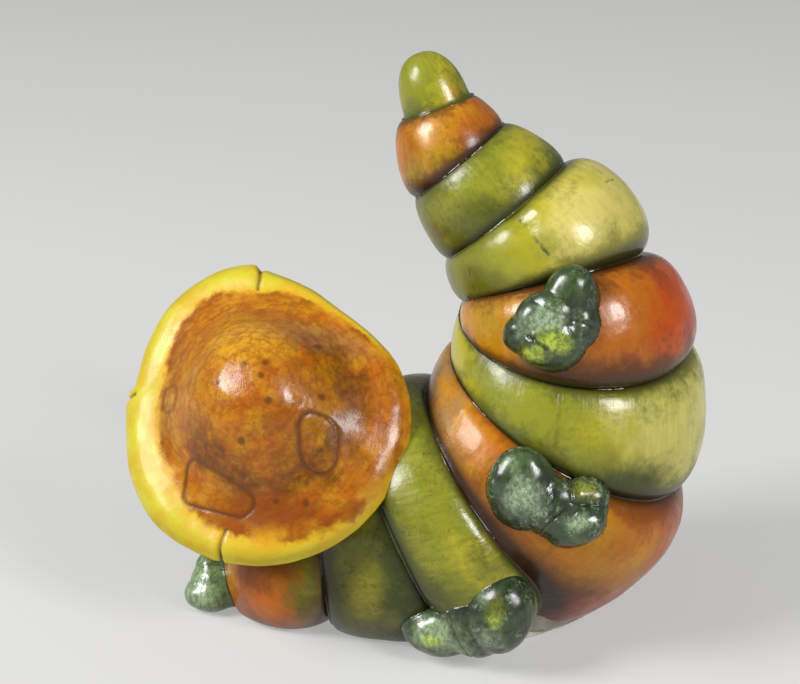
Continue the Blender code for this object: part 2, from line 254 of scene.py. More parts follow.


# How glaze gathers towards a groove, with painted shade there: a wide mottled painted shade and the dark
# line at its bottom
def makePoolingAndShade():
    takes = {"Groove": (number, 0.0), "Grain": (number, 0.5), "Clouds": (number, 0.5)}
    tree, w, given, out = newTree("ShaderNodeTree", "pooledGlazeAndShade", takes, {"Shade": number, "Line": number})
    reach = w.timesPlus(w.centred(given["Grain"]), 0.22, given["Groove"])
    reach = w.timesPlus(w.centred(given["Clouds"]), 0.30, reach)
    w.plug(out["Shade"], w.spread(reach, 0.02, 0.62))
    w.plug(out["Line"], w.spread(given["Groove"], 0.45, 1.0))
    return tree


# A soft, ragged dab of paint round a point
def makeDab():
    takes = {"Place": (arrow, None), "Centre": (arrow, None), "Size": (arrow, (5.0, 5.0, 5.0)),
             "Softness": (number, 0.5), "Raggedness": (number, 0.5)}
    tree, w, given, out = newTree("ShaderNodeTree", "dab", takes, {"Mask": number})
    away = w.vector("DIVIDE", w.vector("SUBTRACT", given["Place"], given["Centre"]), given["Size"])
    rough = w.centred(w.noise(given["Place"], 0.32, 4.0, 0.6))
    reach = w.timesPlus(rough, given["Raggedness"], w.vector("LENGTH", away))
    inner = w.math("SUBTRACT", 1.0, given["Softness"])
    w.plug(out["Mask"], w.spread(reach, inner, 1.0, 1.0, 0.0))
    return tree


# A scratch or seam from one point to another
def makeScratch():
    takes = {"Place": (arrow, None), "From": (arrow, None), "To": (arrow, None), "Width": (number, 0.4)}
    tree, w, given, out = newTree("ShaderNodeTree", "scratch", takes, {"Mask": number})
    along = w.vector("SUBTRACT", given["To"], given["From"])
    away = w.vector("SUBTRACT", given["Place"], given["From"])
    share = w.vector("DOT_PRODUCT", away, along)
    share = w.math("DIVIDE", share, w.vector("DOT_PRODUCT", along, along), clamp=True)
    gap = w.vector("DISTANCE", away, w.scaled(along, share))
    wander = w.times(w.centred(w.noise(given["Place"], 0.7, 3.0)), 1.1)
    gap = w.math("ABSOLUTE", w.math("ADD", gap, wander))
    w.plug(out["Mask"], w.spread(gap, 0.0, given["Width"], 1.0, 0.0))
    return tree


glazeTexture, poolingAndShade, dab, scratch = makeGlazeTexture(), makePoolingAndShade(), makeDab(), makeScratch()


def ramp(w, value, stops, low, high):
    node = w.add("ShaderNodeValToRGB")
    w.plug(node.inputs[0], w.spread(value, low, high, smooth=False))
    band = node.color_ramp
    while len(band.elements) > 1:
        band.elements.remove(band.elements[-1])
    for index, (place, name) in enumerate(stops):
        share = (place - low) / (high - low)
        element = band.elements[0] if index == 0 else band.elements.new(share)
        element.position = share
        element.color = colour(name)
    return node.outputs[0]


def newMaterial(name):
    material = bpy.data.materials.new(name)
    material.use_nodes = True
    tree = material.node_tree
    w = Wiring(tree)
    place = w.scaled(w.add("ShaderNodeTexCoord").outputs["Object"], 1.0 / mm)
    return material, w, tree.nodes["Principled BSDF"], place


def attribute(w, name, output="Fac"):
    return w.add("ShaderNodeAttribute", attribute_name=name).outputs[output]


# Colour, roughness and relief of a surface
def coverWith(w, shader, paint, rough, height, strength, depth):
    bump = w.made("ShaderNodeBump", {"Height": height, "Strength": strength, "Distance": depth * mm})
    for label, value in (("Base Color", paint), ("Roughness", rough), ("Normal", bump.outputs[0])):
        w.plug(shader.inputs[label], value)


# The glaze itself: gloss under a thin clear coat, and a relief of brush marks
def finishGlaze(material, w, shader, paint, rough, height, bump=gloss["bump"], specular=gloss["specular"]):
    coverWith(w, shader, paint, rough, height, bump, gloss["bumpDepth"])
    shader.inputs["Specular IOR Level"].default_value = specular
    shader.inputs["Coat Weight"].default_value = gloss["coat"]
    shader.inputs["Coat Roughness"].default_value = gloss["coatRoughness"]
    return material


def dabbed(w, paint, place, dabs):
    for centre, size, name, share in dabs:
        mask = w.group(dab, Place=place, Centre=centre, Size=size, Softness=0.75, Raggedness=0.7)["Mask"]
        paint = w.layer(paint, mask, share, name)
    return paint


def textureAt(w, place, strokes, **sizes):
    labels = {"patchSize": "Patch Size", "strokeWidth": "Stroke Width", "speckSize": "Speck Size"}
    given = {labels[key]: value for key, value in sizes.items()}
    return w.group(glazeTexture, Place=place, Strokes=strokes, **given)


# One glazed material from a look: washes of colour along x, dabs, streaks, pooled glaze and painted shade in
# the grooves
def glazeMaterial(name, look):
    look = {**plainLook, **look}
    material, w, shader, place = newMaterial(name)
    texture = textureAt(w, place, attribute(w, "strokes", "Vector"), patchSize=look["patchSize"])
    wander = w.times(w.centred(texture["Clouds"]), look["wander"])
    stops = look["washes"]
    along = w.math("ADD", w.parts(place)["X"], wander)
    paint = ramp(w, along, stops, stops[0][0] - 0.01, stops[-1][0] + 0.01)
    paint = dabbed(w, paint, place, look.get("dabs", ()))
    poolsAndShade = w.group(poolingAndShade, Groove=attribute(w, "groove"), Grain=texture["Grain"], Clouds=texture["Clouds"])
    # darker towards the ground: each piece's own foot colour, with painted shade on the low parts
    footTintAndShade = w.spread(w.parts(place)["Z"], look["footTop"], 0.0)
    footTintAndShade = w.times(footTintAndShade, w.timesPlus(texture["Grain"], 0.3, 0.8))
    masks = {"mottle": texture["Mottle"], "streak": texture["Streaks"], "shade": poolsAndShade["Shade"],
             "line": poolsAndShade["Line"], "footTintAndShade": footTintAndShade, "specks": texture["Specks"]}
    for layer, mask in masks.items():
        paintName, share = look[layer]
        paint = w.layer(paint, mask, share, paintName)
    height = texture["Height"]
    for start, end, width, paintName in look.get("scratches", ()):
        mask = w.group(scratch, Place=place, From=start, To=end, Width=width)["Mask"]
        paint = w.layer(paint, mask, 0.8, paintName)
        height = w.timesPlus(mask, -0.5, height)
    rough = w.spread(texture["Clouds"], 0.0, 1.0, *look["roughness"])
    if "clayBelow" in look:
        startX, startHeight, endX, endHeight = look["clayBelow"]
        line = w.spread(w.parts(place)["X"], startX, endX, startHeight, endHeight)
        line = w.timesPlus(texture["Streaks"], 0.8, line)
        bare = w.spread(w.math("SUBTRACT", line, w.parts(place)["Z"]), -0.25, 0.25)
        paint = w.mix(bare, paint, w.between(texture["Clouds"], "clay", "claySoil"))
        rough = w.timesPlus(bare, 0.6, rough, clamp=True)
    return finishGlaze(material, w, shader, paint, rough, height, look["bump"], look["specular"])


def hold(data, name):
    holder = bpy.data.objects.new(name, data)
    bpy.context.collection.objects.link(holder)
    return holder


def slotOf(node):
    for row in frame["record"]["subparts"]:
        if row.get("node") == node:
            return row["material_slot"]


# A visual piece, attached to the root. One that stands for a node hides the node's part; the node's slot is
# looked up but not applied
def newPiece(name, mesh, material, node=None, slot=None):
    piece = hold(mesh, name)
    mesh.materials.clear()
    mesh.materials.append(material)
    slot = slot or slotOf(node)
    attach(piece, "root")
    if node:
        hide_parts(node)
    return piece


def keepNumbers(mesh, name, values):
    store = mesh.attributes.new(name, "FLOAT", "POINT")
    store.data.foreach_set("value", np.asarray(values, np.float32).ravel())


def keepVectors(mesh, name, values):
    store = mesh.attributes.new(name, "FLOAT_VECTOR", "POINT")
    store.data.foreach_set("vector", np.asarray(values, np.float32).ravel())


def unevenness(point, size, seed=0.0):
    return noise.noise(Vector(point) / size + Vector((seed, 3.1 * seed, 1.7 * seed)))


def makeSmooth(mesh):
    mesh.polygons.foreach_set("use_smooth", [True] * len(mesh.polygons))


def meshFrom(bm, name):
    mesh = bpy.data.meshes.new(name)
    bm.to_mesh(mesh)
    bm.free()
    return mesh


# The plain mesh that a holder's modifiers make
def plainMesh(holder, name):
    bpy.context.view_layer.update()
    mesh = bpy.data.meshes.new_from_object(holder.evaluated_get(bpy.context.evaluated_depsgraph_get()))
    holder.modifiers.clear()
    bpy.data.objects.remove(holder, do_unlink=True)
    mesh.name = name
    return mesh


# A bell curve: 1 where the gap is nothing, falling away over the width
def bell(gap, width, lib=math):
    return lib.exp(-(gap / width) ** 2)


# The plain mesh that a node tree makes from its named inputs
def shapeFromTree(name, tree, values):
    holder = hold(bpy.data.meshes.new(name + "Holder"), name)
    modifier = holder.modifiers.new("shape", "NODES")
    modifier.node_group = tree
    sockets = {item.name: item.identifier for item in tree.interface.items_tree if item.in_out == "INPUT"}
    for label, value in values.items():
        modifier[sockets[label]] = value
    return plainMesh(holder, name)


print("nodes ready")


# Creases between the rings, head to tail: centre, lean up, lean away, radius
creases = {
    "neck": ((-29.7, 2.7, 30.4), -75.0, 0.0, 11.0),
    "behindChest": ((-17.5, 0.0, 18.5), 5.0, 0.0, 20.4),
    "behindRing4": ((2.3, -0.2, 24.4), 25.2, 0.0, 28.9),
    "behindRing3": ((24.6, -1.4, 32.2), 37.8, -4.0, 30.0),
    "behindRump": ((39.1, 2.0, 50.3), 61.0, -7.0, 30.2),
    "behindRing2": ((39.8, 1.3, 71.5), 83.0, -11.0, 25.4),
    "behindRing1": ((35.0, 2.0, 83.8), 105.3, 16.0, 20.3),
    "behindTail3": ((24.3, 5.0, 98.7), 130.0, 9.5, 16.4),
    "behindTail2": ((13.7, 7.5, 109.9), 131.0, 9.0, 12.3),
    "behindTail1": ((8.6, 9.6, 121.8), 110.3, 8.0, 7.7),
}
creaseDroop = {"behindRing3": 30.0}  # the low side drawn back towards the head
creaseFarShift = {"behindRing2": -4.0, "behindRing1": 4.0}  # the far side moved towards the tail

# Each ring: its node, its two creases, its bulge, and what is special about it
rings = {
    "chestRing": {"node": "chest_ring", "creases": ("neck", "behindChest"), "bulge": 0.123,
                  "shift": 1.65, "growth": 3.1},
    "bodyRing4": {"node": "body_ring_4", "creases": ("behindChest", "behindRing4"), "bulge": 0.15},
    "bodyRing3": {"node": "body_ring_3", "creases": ("behindRing4", "behindRing3"), "bulge": 0.24},
    "rumpRing": {"node": "rump_ring", "creases": ("behindRing3", "behindRump"), "bulge": 0.25,
                 "shift": 1.6, "growth": 1.75},
    "bodyRing2": {"node": "body_ring_2", "creases": ("behindRump", "behindRing2"), "bulge": 0.175},
    "bodyRing1": {"node": "body_ring_1", "creases": ("behindRing2", "behindRing1"), "bulge": 0.25},
    "tailRing3": {"node": "tail_ring_3", "creases": ("behindRing1", "behindTail3"), "bulge": 0.27},
    "tailRing2": {"node": "tail_ring_2", "creases": ("behindTail3", "behindTail2"), "bulge": 0.155},
    "tailRing1": {"node": "tail_ring_1", "creases": ("behindTail2", "behindTail1"), "bulge": 0.18},
}
ringShape = {
    "segments": 224,
    "steps": 72,
    "overlap": 0.01,  # neighbouring rings reach this far into each other, so no slit shows
    "growth": 1.4,  # a wide side bulges more than a narrow one
    "squareness": 2.2,
    "droopPower": 4.5,
    "glazeInCrease": 0.75,  # depth of the glaze that rounds the bottom of a crease
    "uneven": 0.7,
    "unevenSize": 13.0,
    "footHeight": 1.55,
}
chestTuck = {"below": 15.0, "share": 0.22, "width": 12.0}  # its near side is drawn in towards the ground
strokeShape = 0.16  # the width of a brush stroke as a share of its length


def direction(leanUp, leanAway):
    up, away = math.radians(leanUp), math.radians(leanAway)
    return Vector((math.cos(up) * math.cos(away), math.sin(away), math.sin(up) * math.cos(away)))


# Centre, axis, and the arms from the centre to the near side and to the top of a crease
def creaseFrame(name, shift=0.0):
    centre, leanUp, leanAway, radius = creases[name]
    axis = direction(leanUp, leanAway)
    near = Vector((0.0, -1.0, 0.0))
    near = (near - axis * near.dot(axis)).normalized()
    return Vector(centre) + axis * shift, axis, near * radius, near.cross(axis) * radius


creaseInputs = {"Centre": (arrow, None), "Axis": (arrow, None), "Near": (arrow, None), "Top": (arrow, None),
                "Droop": (number, 0.0), "Far Shift": (number, 0.0)}


# What a tree is told about one crease
def creaseValues(name, end="", shift=0.0):
    centre, axis, near, top = creaseFrame(name, shift)
    values = {"Centre": centre * mm, "Axis": axis, "Near": near * mm, "Top": top * mm,
              "Droop": creaseDroop.get(name, 0.0) * mm, "Far Shift": creaseFarShift.get(name, 0.0) * mm}
    return {end + label: value for label, value in values.items()}


# A point of a crease, by the turn round it. Its far side is shifted and its low side drawn back
def creasePoint(w, given, turn, end="", drooping=True):
    def below(side):
        return w.math("MAXIMUM", w.times(turn[side], -1.0), 0.0)

    slide = w.times(given[end + "Far Shift"], w.math("POWER", below("X"), 2.0))
    if drooping:
        sag = w.math("POWER", below("Y"), given["Droop Power"])
        slide = w.math("SUBTRACT", slide, w.times(given[end + "Droop"], sag))
    point = w.vector("ADD", given[end + "Centre"], w.scaled(given[end + "Near"], turn["X"]))
    point = w.vector("ADD", point, w.scaled(given[end + "Top"], turn["Y"]))
    return w.vector("ADD", point, w.scaled(given[end + "Axis"], slide))


# A closed ring that bulges out between two creases
def makeRingTree():
    takes = {end + label: kind for end in ("Front ", "Back ") for label, kind in creaseInputs.items()}
    takes.update({"Bulge": (number, 0.2), "Bulge Shift": (number, 1.0), "Growth": (number, 1.4),
                  "Squareness": (number, 2.2), "Droop Power": (number, 4.5),
                  "Glaze In Crease": (number, 0.5 * mm), "Uneven": (number, 0.5 * mm),
                  "Uneven Size": (number, 10.0 * mm), "Segments": (whole, 64), "Steps": (whole, 24),
                  "Glaze": glazeSocket})
    tree, w, given, out = newTree("GeometryNodeTree", "bulgedRing", takes, shapeOut)

    walls = {"Vertices": given["Segments"], "Side Segments": given["Steps"], "Fill Segments": 4,
             "Radius": 1.0, "Depth": 1.0}
    tube = w.made("GeometryNodeMeshCylinder", walls, fill_type="TRIANGLE_FAN")
    place = w.add("GeometryNodeInputPosition").outputs[0]
    flat = w.vector("MULTIPLY", place, (1.0, 1.0, 0.0))
    reach = w.vector("LENGTH", flat)  # 1 on the wall and 0 in the middle of an end
    turn = w.parts(w.vector("NORMALIZE", flat))
    lengthways = w.math("SUBTRACT", 0.5, w.parts(place)["Z"])
    share = w.timesPlus(w.math("COSINE", w.times(lengthways, math.pi)), -0.5, 0.5)

    front, back = (creasePoint(w, given, turn, end) for end in ("Front ", "Back "))
    ends = [creasePoint(w, given, turn, end, drooping=False) for end in ("Front ", "Back ")]
    width = w.vector("DISTANCE", *ends)
    measured = {"Geometry": tube.outputs["Mesh"], "Attribute": width}
    mean = w.made("GeometryNodeAttributeStatistic", measured).outputs["Mean"]

    along = w.vector("NORMALIZE", w.vector("SUBTRACT", back, front))
    halfway = w.scaled(w.vector("ADD", front, back), 0.5)
    middle = w.scaled(w.vector("ADD", given["Front Centre"], given["Back Centre"]), 0.5)
    outward = w.vector("SUBTRACT", halfway, middle)
    outward = w.vector("SUBTRACT", outward, w.scaled(along, w.vector("DOT_PRODUCT", outward, along)))
    outward = w.vector("NORMALIZE", outward)

    side = w.math("POWER", share, given["Bulge Shift"])
    side = w.math("ABSOLUTE", w.timesPlus(side, 2.0, -1.0))
    rise = w.math("SUBTRACT", 1.0, w.math("POWER", side, given["Squareness"]), clamp=True)
    rise = w.math("POWER", rise, w.inverse(given["Squareness"]))
    full = w.times(w.math("POWER", w.math("DIVIDE", width, mean), given["Growth"]), mean)
    height = w.times(w.times(full, given["Bulge"]), rise)
    cubes = w.math("ADD", w.math("POWER", height, 3.0), w.math("POWER", given["Glaze In Crease"], 3.0))
    height = w.math("POWER", cubes, 1.0 / 3.0)

    chord = w.vector("ADD", front, w.scaled(w.vector("SUBTRACT", back, front), share))
    bulged = w.vector("ADD", chord, w.scaled(outward, height))
    ripple = w.noise(bulged, w.inverse(given["Uneven Size"]))
    ripple = w.times(w.centred(ripple), given["Uneven"])
    bulged = w.vector("ADD", bulged, w.scaled(outward, ripple))
    core = w.vector("SUBTRACT", given["Back Centre"], given["Front Centre"])
    core = w.vector("ADD", given["Front Centre"], w.scaled(core, share))
    final = w.vector("ADD", core, w.scaled(w.vector("SUBTRACT", bulged, core), reach))

    # brush strokes run from crease to crease; glaze gathers in the creases, with painted shade there and on
    # each ring's low side
    arm = w.math("DIVIDE", w.vector("LENGTH", given["Front Near"]), mm)
    strokes = w.joined(w.times(turn["X"], arm), w.times(turn["Y"], arm),
                       w.times(w.math("DIVIDE", width, mm), w.times(share, strokeShape)))
    # painted shade: each ring darkens towards its front crease, its low side
    lowSideShade = w.math("POWER", w.math("SUBTRACT", 1.0, share), 4.5)
    groove = w.timesPlus(lowSideShade, 0.55, w.math("SUBTRACT", 1.0, rise), clamp=True)
    shape = tube.outputs["Mesh"]
    for label, kind, value in (("groove", "FLOAT", groove), ("strokes", "FLOAT_VECTOR", strokes)):
        stored = {"Geometry": shape, "Name": label, "Value": value}
        shape = w.made("GeometryNodeStoreNamedAttribute", stored, data_type=kind, domain="POINT").outputs[0]
    shape = w.made("GeometryNodeSetPosition", {"Geometry": shape, "Position": final}).outputs[0]
    for part, smooth in (("Side", True), ("Top", False), ("Bottom", False)):
        shading = {"Geometry": shape, "Selection": tube.outputs[part], "Shade Smooth": smooth}
        shape = w.made("GeometryNodeSetShadeSmooth", shading).outputs[0]
    w.finish(shape, given["Glaze"], out)
    return tree


# What stands on the ground is cut off level
def cutLevel(mesh, height):
    bm = bmesh.new()
    bm.from_mesh(mesh)
    if min(v.co.z for v in bm.verts) < height:
        everything = bm.verts[:] + bm.edges[:] + bm.faces[:]
        cut = bmesh.ops.bisect_plane(bm, geom=everything, plane_co=(0.0, 0.0, height),
                                     plane_no=(0.0, 0.0, 1.0), clear_inner=True)
        rim = [item for item in cut["geom_cut"] if isinstance(item, bmesh.types.BMEdge)]
        for face in bmesh.ops.contextual_create(bm, geom=rim)["faces"]:
            face.smooth = False
        bmesh.ops.recalc_face_normals(bm, faces=bm.faces[:])
        bm.to_mesh(mesh)
    bm.free()


# Washes are colours along x. Dabs have a centre, half sizes, a colour and how much of it.
# Scratches and valleys run from one point to another, and bare clay shows below a line of heights
ringLooks = {
    "tailRing1": {
        "mottle": ("brown", 0.4),
        "washes": ((-2, "amber"), (4, "honey"), (12, "honey"), (16, "amber"), (24, "amber")), "wander": 5,
        "patchSize": 5, "streak": ("brown", 0.25), "shade": ("brown", 0.85), "line": ("darkBrown", 0.9),
        "specks": ("brown", 0.5),
        "dabs": (((14, -2, 112), (7, 6, 5), "brown", 0.6), ((4, -2, 108), (6, 7, 6), "leaf", 0.55),
                 ((18, -1, 116.5), (6, 6, 5.5), "brown", 0.55), ((10, -3, 113), (7, 7, 5), "leaf", 0.5),
                 ((2.5, -1, 114), (3.5, 6, 5), "brown", 0.35), ((8, -4, 105), (5, 6, 5), "rust", 0.6)),
    },
    "tailRing2": {
        "washes": ((4, "olive"), (12, "leaf"), (22, "leaf"), (28, "yellowGreen"), (33, "leaf"),
                   (37, "olive")),
        "wander": 5, "patchSize": 5,
        "dabs": (((17, -11, 103), (9, 6, 6), "moss", 0.7), ((12, -9, 98), (6, 6, 5), "darkMoss", 0.5),
                 ((27, -6, 114), (5, 6, 4), "yellowGreen", 0.7), ((8, -4, 96), (4, 5, 4.5), "brown", 0.6)),
    },
    "tailRing3": {
        "mottle": ("olive", 0.15),
        "washes": ((11, "olive"), (20, "leaf"), (29, "yellowGreen"), (36, "cream"), (48, "cream"),
                   (55, "butter"), (60, "yellowGreen")),
        "wander": 4, "streak": ("olive", 0.1), "shade": ("olive", 0.8), "specks": ("moss", 0.25),
        "dabs": (((18, -14, 88), (14, 7, 6), "moss", 0.55), ((31, -19, 98), (5, 5, 6), "leaf", 0.6),
                 ((40, -16, 86), (9, 7, 4), "olive", 0.5),
                 ((40, -6, 109.5), (9, 8, 3.5), "yellowGreen", 0.6)),
        "scratches": (((23.2, -12.5, 105.7), (26.2, -14.4, 102.7), 1, "darkMoss"),
                      ((26.2, -14.4, 102.7), (28.2, -17.2, 100.4), 0.9, "darkMoss"),
                      ((28.2, -17.2, 100.4), (32.1, -19.5, 95.9), 0.75, "darkMoss"),
                      ((15.6, -11.6, 90), (16.9, -11.7, 85.3), 0.5, "moss"),
                      ((45.8, -4.9, 108.3), (47.7, -2, 108), 0.4, "moss")),
        "valleys": (((23.2, -12.5, 105.7), (27.6, -16.4, 101.1), 0.7, 3),
                    ((27.6, -16.4, 101.1), (32.1, -19.5, 95.9), 0.5, 3)),
    },
    "bodyRing1": {
        "mottle": ("rust", 0.4),
        "washes": ((14, "honey"), (20, "honey"), (30, "honey"), (40, "amber"), (50, "amber"),
                   (58, "orange"), (68, "redOrange")),
        "streak": ("rust", 0.14), "shade": ("brown", 0.9), "line": ("darkBrown", 0.95),
        "specks": ("brown", 0.3),
        # The brown and dark brown dabs low on the near side are darker glaze with painted shade under the
        # ring
        "dabs": (((42, -24, 69.5), (26, 12, 7.5), "brown", 1),
                 ((42, -24, 69), (24, 12, 5), "darkBrown", 0.7),
                 ((30, -20, 71), (12, 10, 5), "darkBrown", 0.6), ((20, -16, 80), (8, 10, 7), "leaf", 0.35),
                 ((40, -23, 78), (5, 6, 6), "rust", 0.5)),
    },
    "bodyRing2": {
        "washes": ((12, "yellowGreen"), (22, "leaf"), (38, "leaf"), (47, "yellowGreen"), (56, "butter"),
                   (72, "butter")),
        "mottle": ("olive", 0.14), "streak": ("leaf", 0.22), "specks": ("darkMoss", 0.3),
        "shade": ("moss", 0.8),
        # The moss and dark moss dabs along the low edge are darker glaze with painted shade there
        "dabs": (((38, -22, 68.5), (10, 7, 3), "rust", 0.7), ((50, -28, 43.5), (22, 12, 10), "moss", 1),
                 ((48, -28, 43), (20, 12, 7.5), "darkMoss", 0.6), ((32, -26, 50), (12, 9, 7), "olive", 0.6),
                 ((44, -30, 52), (7, 9, 6), "olive", 0.4)),
        "scratches": (((35.3, -26, 65.7), (34.3, -29.6, 54.1), 0.9, "olive"),),
    },
    "rumpRing": {
        "mottle": ("brown", 0.4),
        "washes": ((6, "greyBrown"), (14, "honey"), (24, "amber"), (42, "honey"), (54, "amber"),
                   (68, "orange")),
        "streak": ("rust", 0.16), "shade": ("brown", 0.62), "line": ("darkBrown", 0.95),
        "specks": ("brown", 0.3),
        # The gold dab on the right is a painted highlight
        "dabs": (((52, -24, 28), (9, 9, 8), "gold", 0.7), ((38, -25, 18), (13, 12, 8), "rust", 0.95),
                 ((38, -25, 16), (10, 12, 6), "darkBrown", 0.35),
                 ((42, -20, 11), (24, 16, 8), "redOrange", 0.9)),
        "footTintAndShade": ("redOrange", 0.8), "specular": 0.3, "clayBelow": (28, 9, 46, 3.5),
    },
    "bodyRing3": {
        "washes": ((-10, "olive"), (4, "leaf"), (12, "leaf"), (18, "yellowGreen"), (24, "leaf"),
                   (36, "olive")),
        "wander": 10,
        # The moss dabs low down are dark mottling in the glaze with painted shade near the ground
        "dabs": (((20, -26, 10), (16, 14, 9), "moss", 0.9), ((8, -29, 20), (10, 12, 9), "moss", 0.8)),
        "footTintAndShade": ("moss", 0.9), "streak": ("moss", 0.3), "shade": ("moss", 0.75),
        "clayBelow": (0, 2.2, 40, 2.2),
    },
    "bodyRing4": {
        "washes": ((-20, "moss"), (-13, "olive"), (-8, "olive"), (-2, "moss"), (6, "moss"), (12, "olive")),
        "wander": 6, "specular": 0.26, "streak": ("moss", 0.3), "specks": ("darkMoss", 0.6),
        "shade": ("darkMoss", 0.65), "footTintAndShade": ("moss", 0.5), "mottle": ("darkMoss", 0.7),
        "dabs": (((-8, -28, 17), (5, 8, 14), "yellowGreen", 0.6), ((-13, -22, 24), (3, 6, 6), "leaf", 0.6),
                 ((-2, -28, 10), (3.5, 7, 6), "leaf", 0.5)),
    },
    "chestRing": {
        "mottle": ("brown", 0.25),
        "washes": ((-43, "honey"), (-39, "amber"), (-33, "rust"), (-28, "amber"), (-22, "olive"),
                   (-16, "moss")),
        "streak": ("brown", 0.2), "shade": ("brown", 0.6), "line": ("darkBrown", 0.85),
        "specks": ("brown", 0.5), "wander": 5, "footTintAndShade": ("rust", 0.3), "specular": 0.24,
        # The brown dab across the top is a painted shadow under the cap
        "dabs": (((-28, -19, 22), (14, 8, 6), "brown", 0.55), ((-22, -17, 14), (3.5, 8, 12), "leaf", 0.45),
                 ((-29.5, -15, 9), (10, 10, 8), "marigold", 0.9)),
    },
}


# Valleys pressed into a skin: start, end, depth, width
def pressValleys(mesh, valleys):
    normals = [v.normal.copy() for v in mesh.vertices]
    for start, end, depth, width in valleys:
        start, along = Vector(start), Vector(end) - Vector(start)
        for vert, normal in zip(mesh.vertices, normals):
            away = vert.co / mm - start
            share = min(max(away.dot(along) / along.length_squared, 0.0), 1.0)
            gap = (away - along * share).length
            if gap < 3 * width:
                vert.co -= normal * depth * bell(gap, width) * mm


def tuckIn(mesh):
    for vert in mesh.vertices:
        x, y, z = vert.co / mm
        low = min(max((chestTuck["below"] - z) / chestTuck["below"], 0.0), 1.0)
        near = min(max(-y / chestTuck["width"], 0.0), 1.0)
        vert.co.y = y * (1.0 - chestTuck["share"] * low ** 1.5 * near) * mm


def makeRings():
    tree = makeRingTree()
    shared = {"Squareness": ringShape["squareness"], "Droop Power": ringShape["droopPower"],
              "Glaze In Crease": ringShape["glazeInCrease"] * mm, "Uneven": ringShape["uneven"] * mm,
              "Uneven Size": ringShape["unevenSize"] * mm, "Segments": ringShape["segments"],
              "Steps": ringShape["steps"]}
    for name, ring in rings.items():
        look = ringLooks[name]
        glaze = glazeMaterial(name + "Glaze", look)
        values = {**shared, "Bulge": ring["bulge"], "Bulge Shift": ring.get("shift", 1.0),
                  "Growth": ring.get("growth", ringShape["growth"]), "Glaze": glaze}
        for end, crease, shift in zip(("Front ", "Back "), ring["creases"], (-1.0, 1.0)):
            values.update(creaseValues(crease, end, shift * ringShape["overlap"]))
        mesh = shapeFromTree(name, tree, values)
        pressValleys(mesh, look.get("valleys", ()))
        if name == "chestRing":
            tuckIn(mesh)
        cutLevel(mesh, ringShape["footHeight"] * mm)
        newPiece(name, mesh, glaze, ring["node"])
        print("ring", name, len(mesh.polygons), "faces")


makeRings()


# Glaze that ran together at the bottom of each crease, in an uneven glossy line
creaseGlaze = {
    "radius": 0.55,
    "height": 0.50,
    "uneven": 0.9,
    "colours": {"behindChest": "darkMoss", "behindRing4": "moss", "behindRing3": "darkBrown",
                "behindRump": "darkBrown", "behindRing2": "darkBrown", "behindRing1": "darkBrown",
                "behindTail3": "moss", "behindTail2": "darkBrown", "behindTail1": "moss"},
    "look": {"streak": ("moss", 0.0), "mottle": ("darkMoss", 0.5), "roughness": (0.10, 0.16), "bump": 0.4},
}


def makeCreaseTree():
    takes = dict(creaseInputs)
    takes.update({label: (number, 0.0) for label in ("Droop Power", "Radius", "Height", "Uneven")})
    takes["Glaze"] = glazeSocket
    tree, w, given, out = newTree("GeometryNodeTree", "glazeLine", takes, shapeOut)
    loop = w.made("GeometryNodeCurvePrimitiveCircle", {"Resolution": 360, "Radius": 1.0})
    place = w.add("GeometryNodeInputPosition").outputs[0]
    turn = w.parts(place)
    arm = w.vector("ADD", w.scaled(given["Near"], turn["X"]), w.scaled(given["Top"], turn["Y"]))
    lift = w.scaled(w.vector("NORMALIZE", arm), given["Height"])
    point = w.vector("ADD", creasePoint(w, given, turn), lift)
    moved = {"Geometry": loop.outputs["Curve"], "Position": point}
    line = w.made("GeometryNodeSetPosition", moved).outputs[0]
    swell = w.noise(w.scaled(place, 1.0 / mm), 0.35, 3.0, 0.6)
    swell = w.timesPlus(w.centred(swell), given["Uneven"], 1.0)
    outline = w.made("GeometryNodeCurvePrimitiveCircle", {"Resolution": 12, "Radius": 1.0}).outputs["Curve"]
    tube = w.made("GeometryNodeCurveToMesh", {"Curve": line, "Profile Curve": outline,
                                              "Scale": w.times(swell, given["Radius"])})
    w.finish(tube.outputs[0], given["Glaze"], out)
    return tree


def makeCreaseGlaze():
    tree = makeCreaseTree()
    for crease, paint in creaseGlaze["colours"].items():
        name = "glaze" + crease[0].upper() + crease[1:]
        glaze = glazeMaterial(name + "Line", {**creaseGlaze["look"], "washes": ((-80, paint), (80, paint))})
        values = {**creaseValues(crease), "Droop Power": ringShape["droopPower"],
                  "Radius": creaseGlaze["radius"] * mm, "Height": creaseGlaze["height"] * mm,
                  "Uneven": creaseGlaze["uneven"], "Glaze": glaze}
        mesh = shapeFromTree(name, tree, values)
        makeSmooth(mesh)
        cutLevel(mesh, ringShape["footHeight"] * mm)
        newPiece(name, mesh, glaze, slot="olive_green_glaze")
    print("glaze in the creases")


makeCreaseGlaze()


# Rows of points closed into one skin, with the first and last rows each drawn to a point
def skinFromRows(name, rows, firstPoint, lastPoint):
    rows = np.asarray(rows, float)
    count, across = rows.shape[:2]
    points = np.vstack([rows.reshape(-1, 3), [firstPoint, lastPoint]])
    first, last = count * across, count * across + 1
    faces = []
    for i in range(count - 1):
        for j in range(across):
            k = (j + 1) % across
            faces.append((i * across + j, i * across + k, (i + 1) * across + k, (i + 1) * across + j))
    for j in range(across):
        k = (j + 1) % across
        faces.append((first, k, j))
        faces.append((last, (count - 1) * across + j, (count - 1) * across + k))
    mesh = bpy.data.meshes.new(name)
    mesh.from_pydata([tuple(p) for p in points * mm], [], faces)
    mesh.update()
    bm = bmesh.new()
    bm.from_mesh(mesh)
    bmesh.ops.recalc_face_normals(bm, faces=bm.faces[:])
    bm.to_mesh(mesh)
    bm.free()
    makeSmooth(mesh)
    return mesh


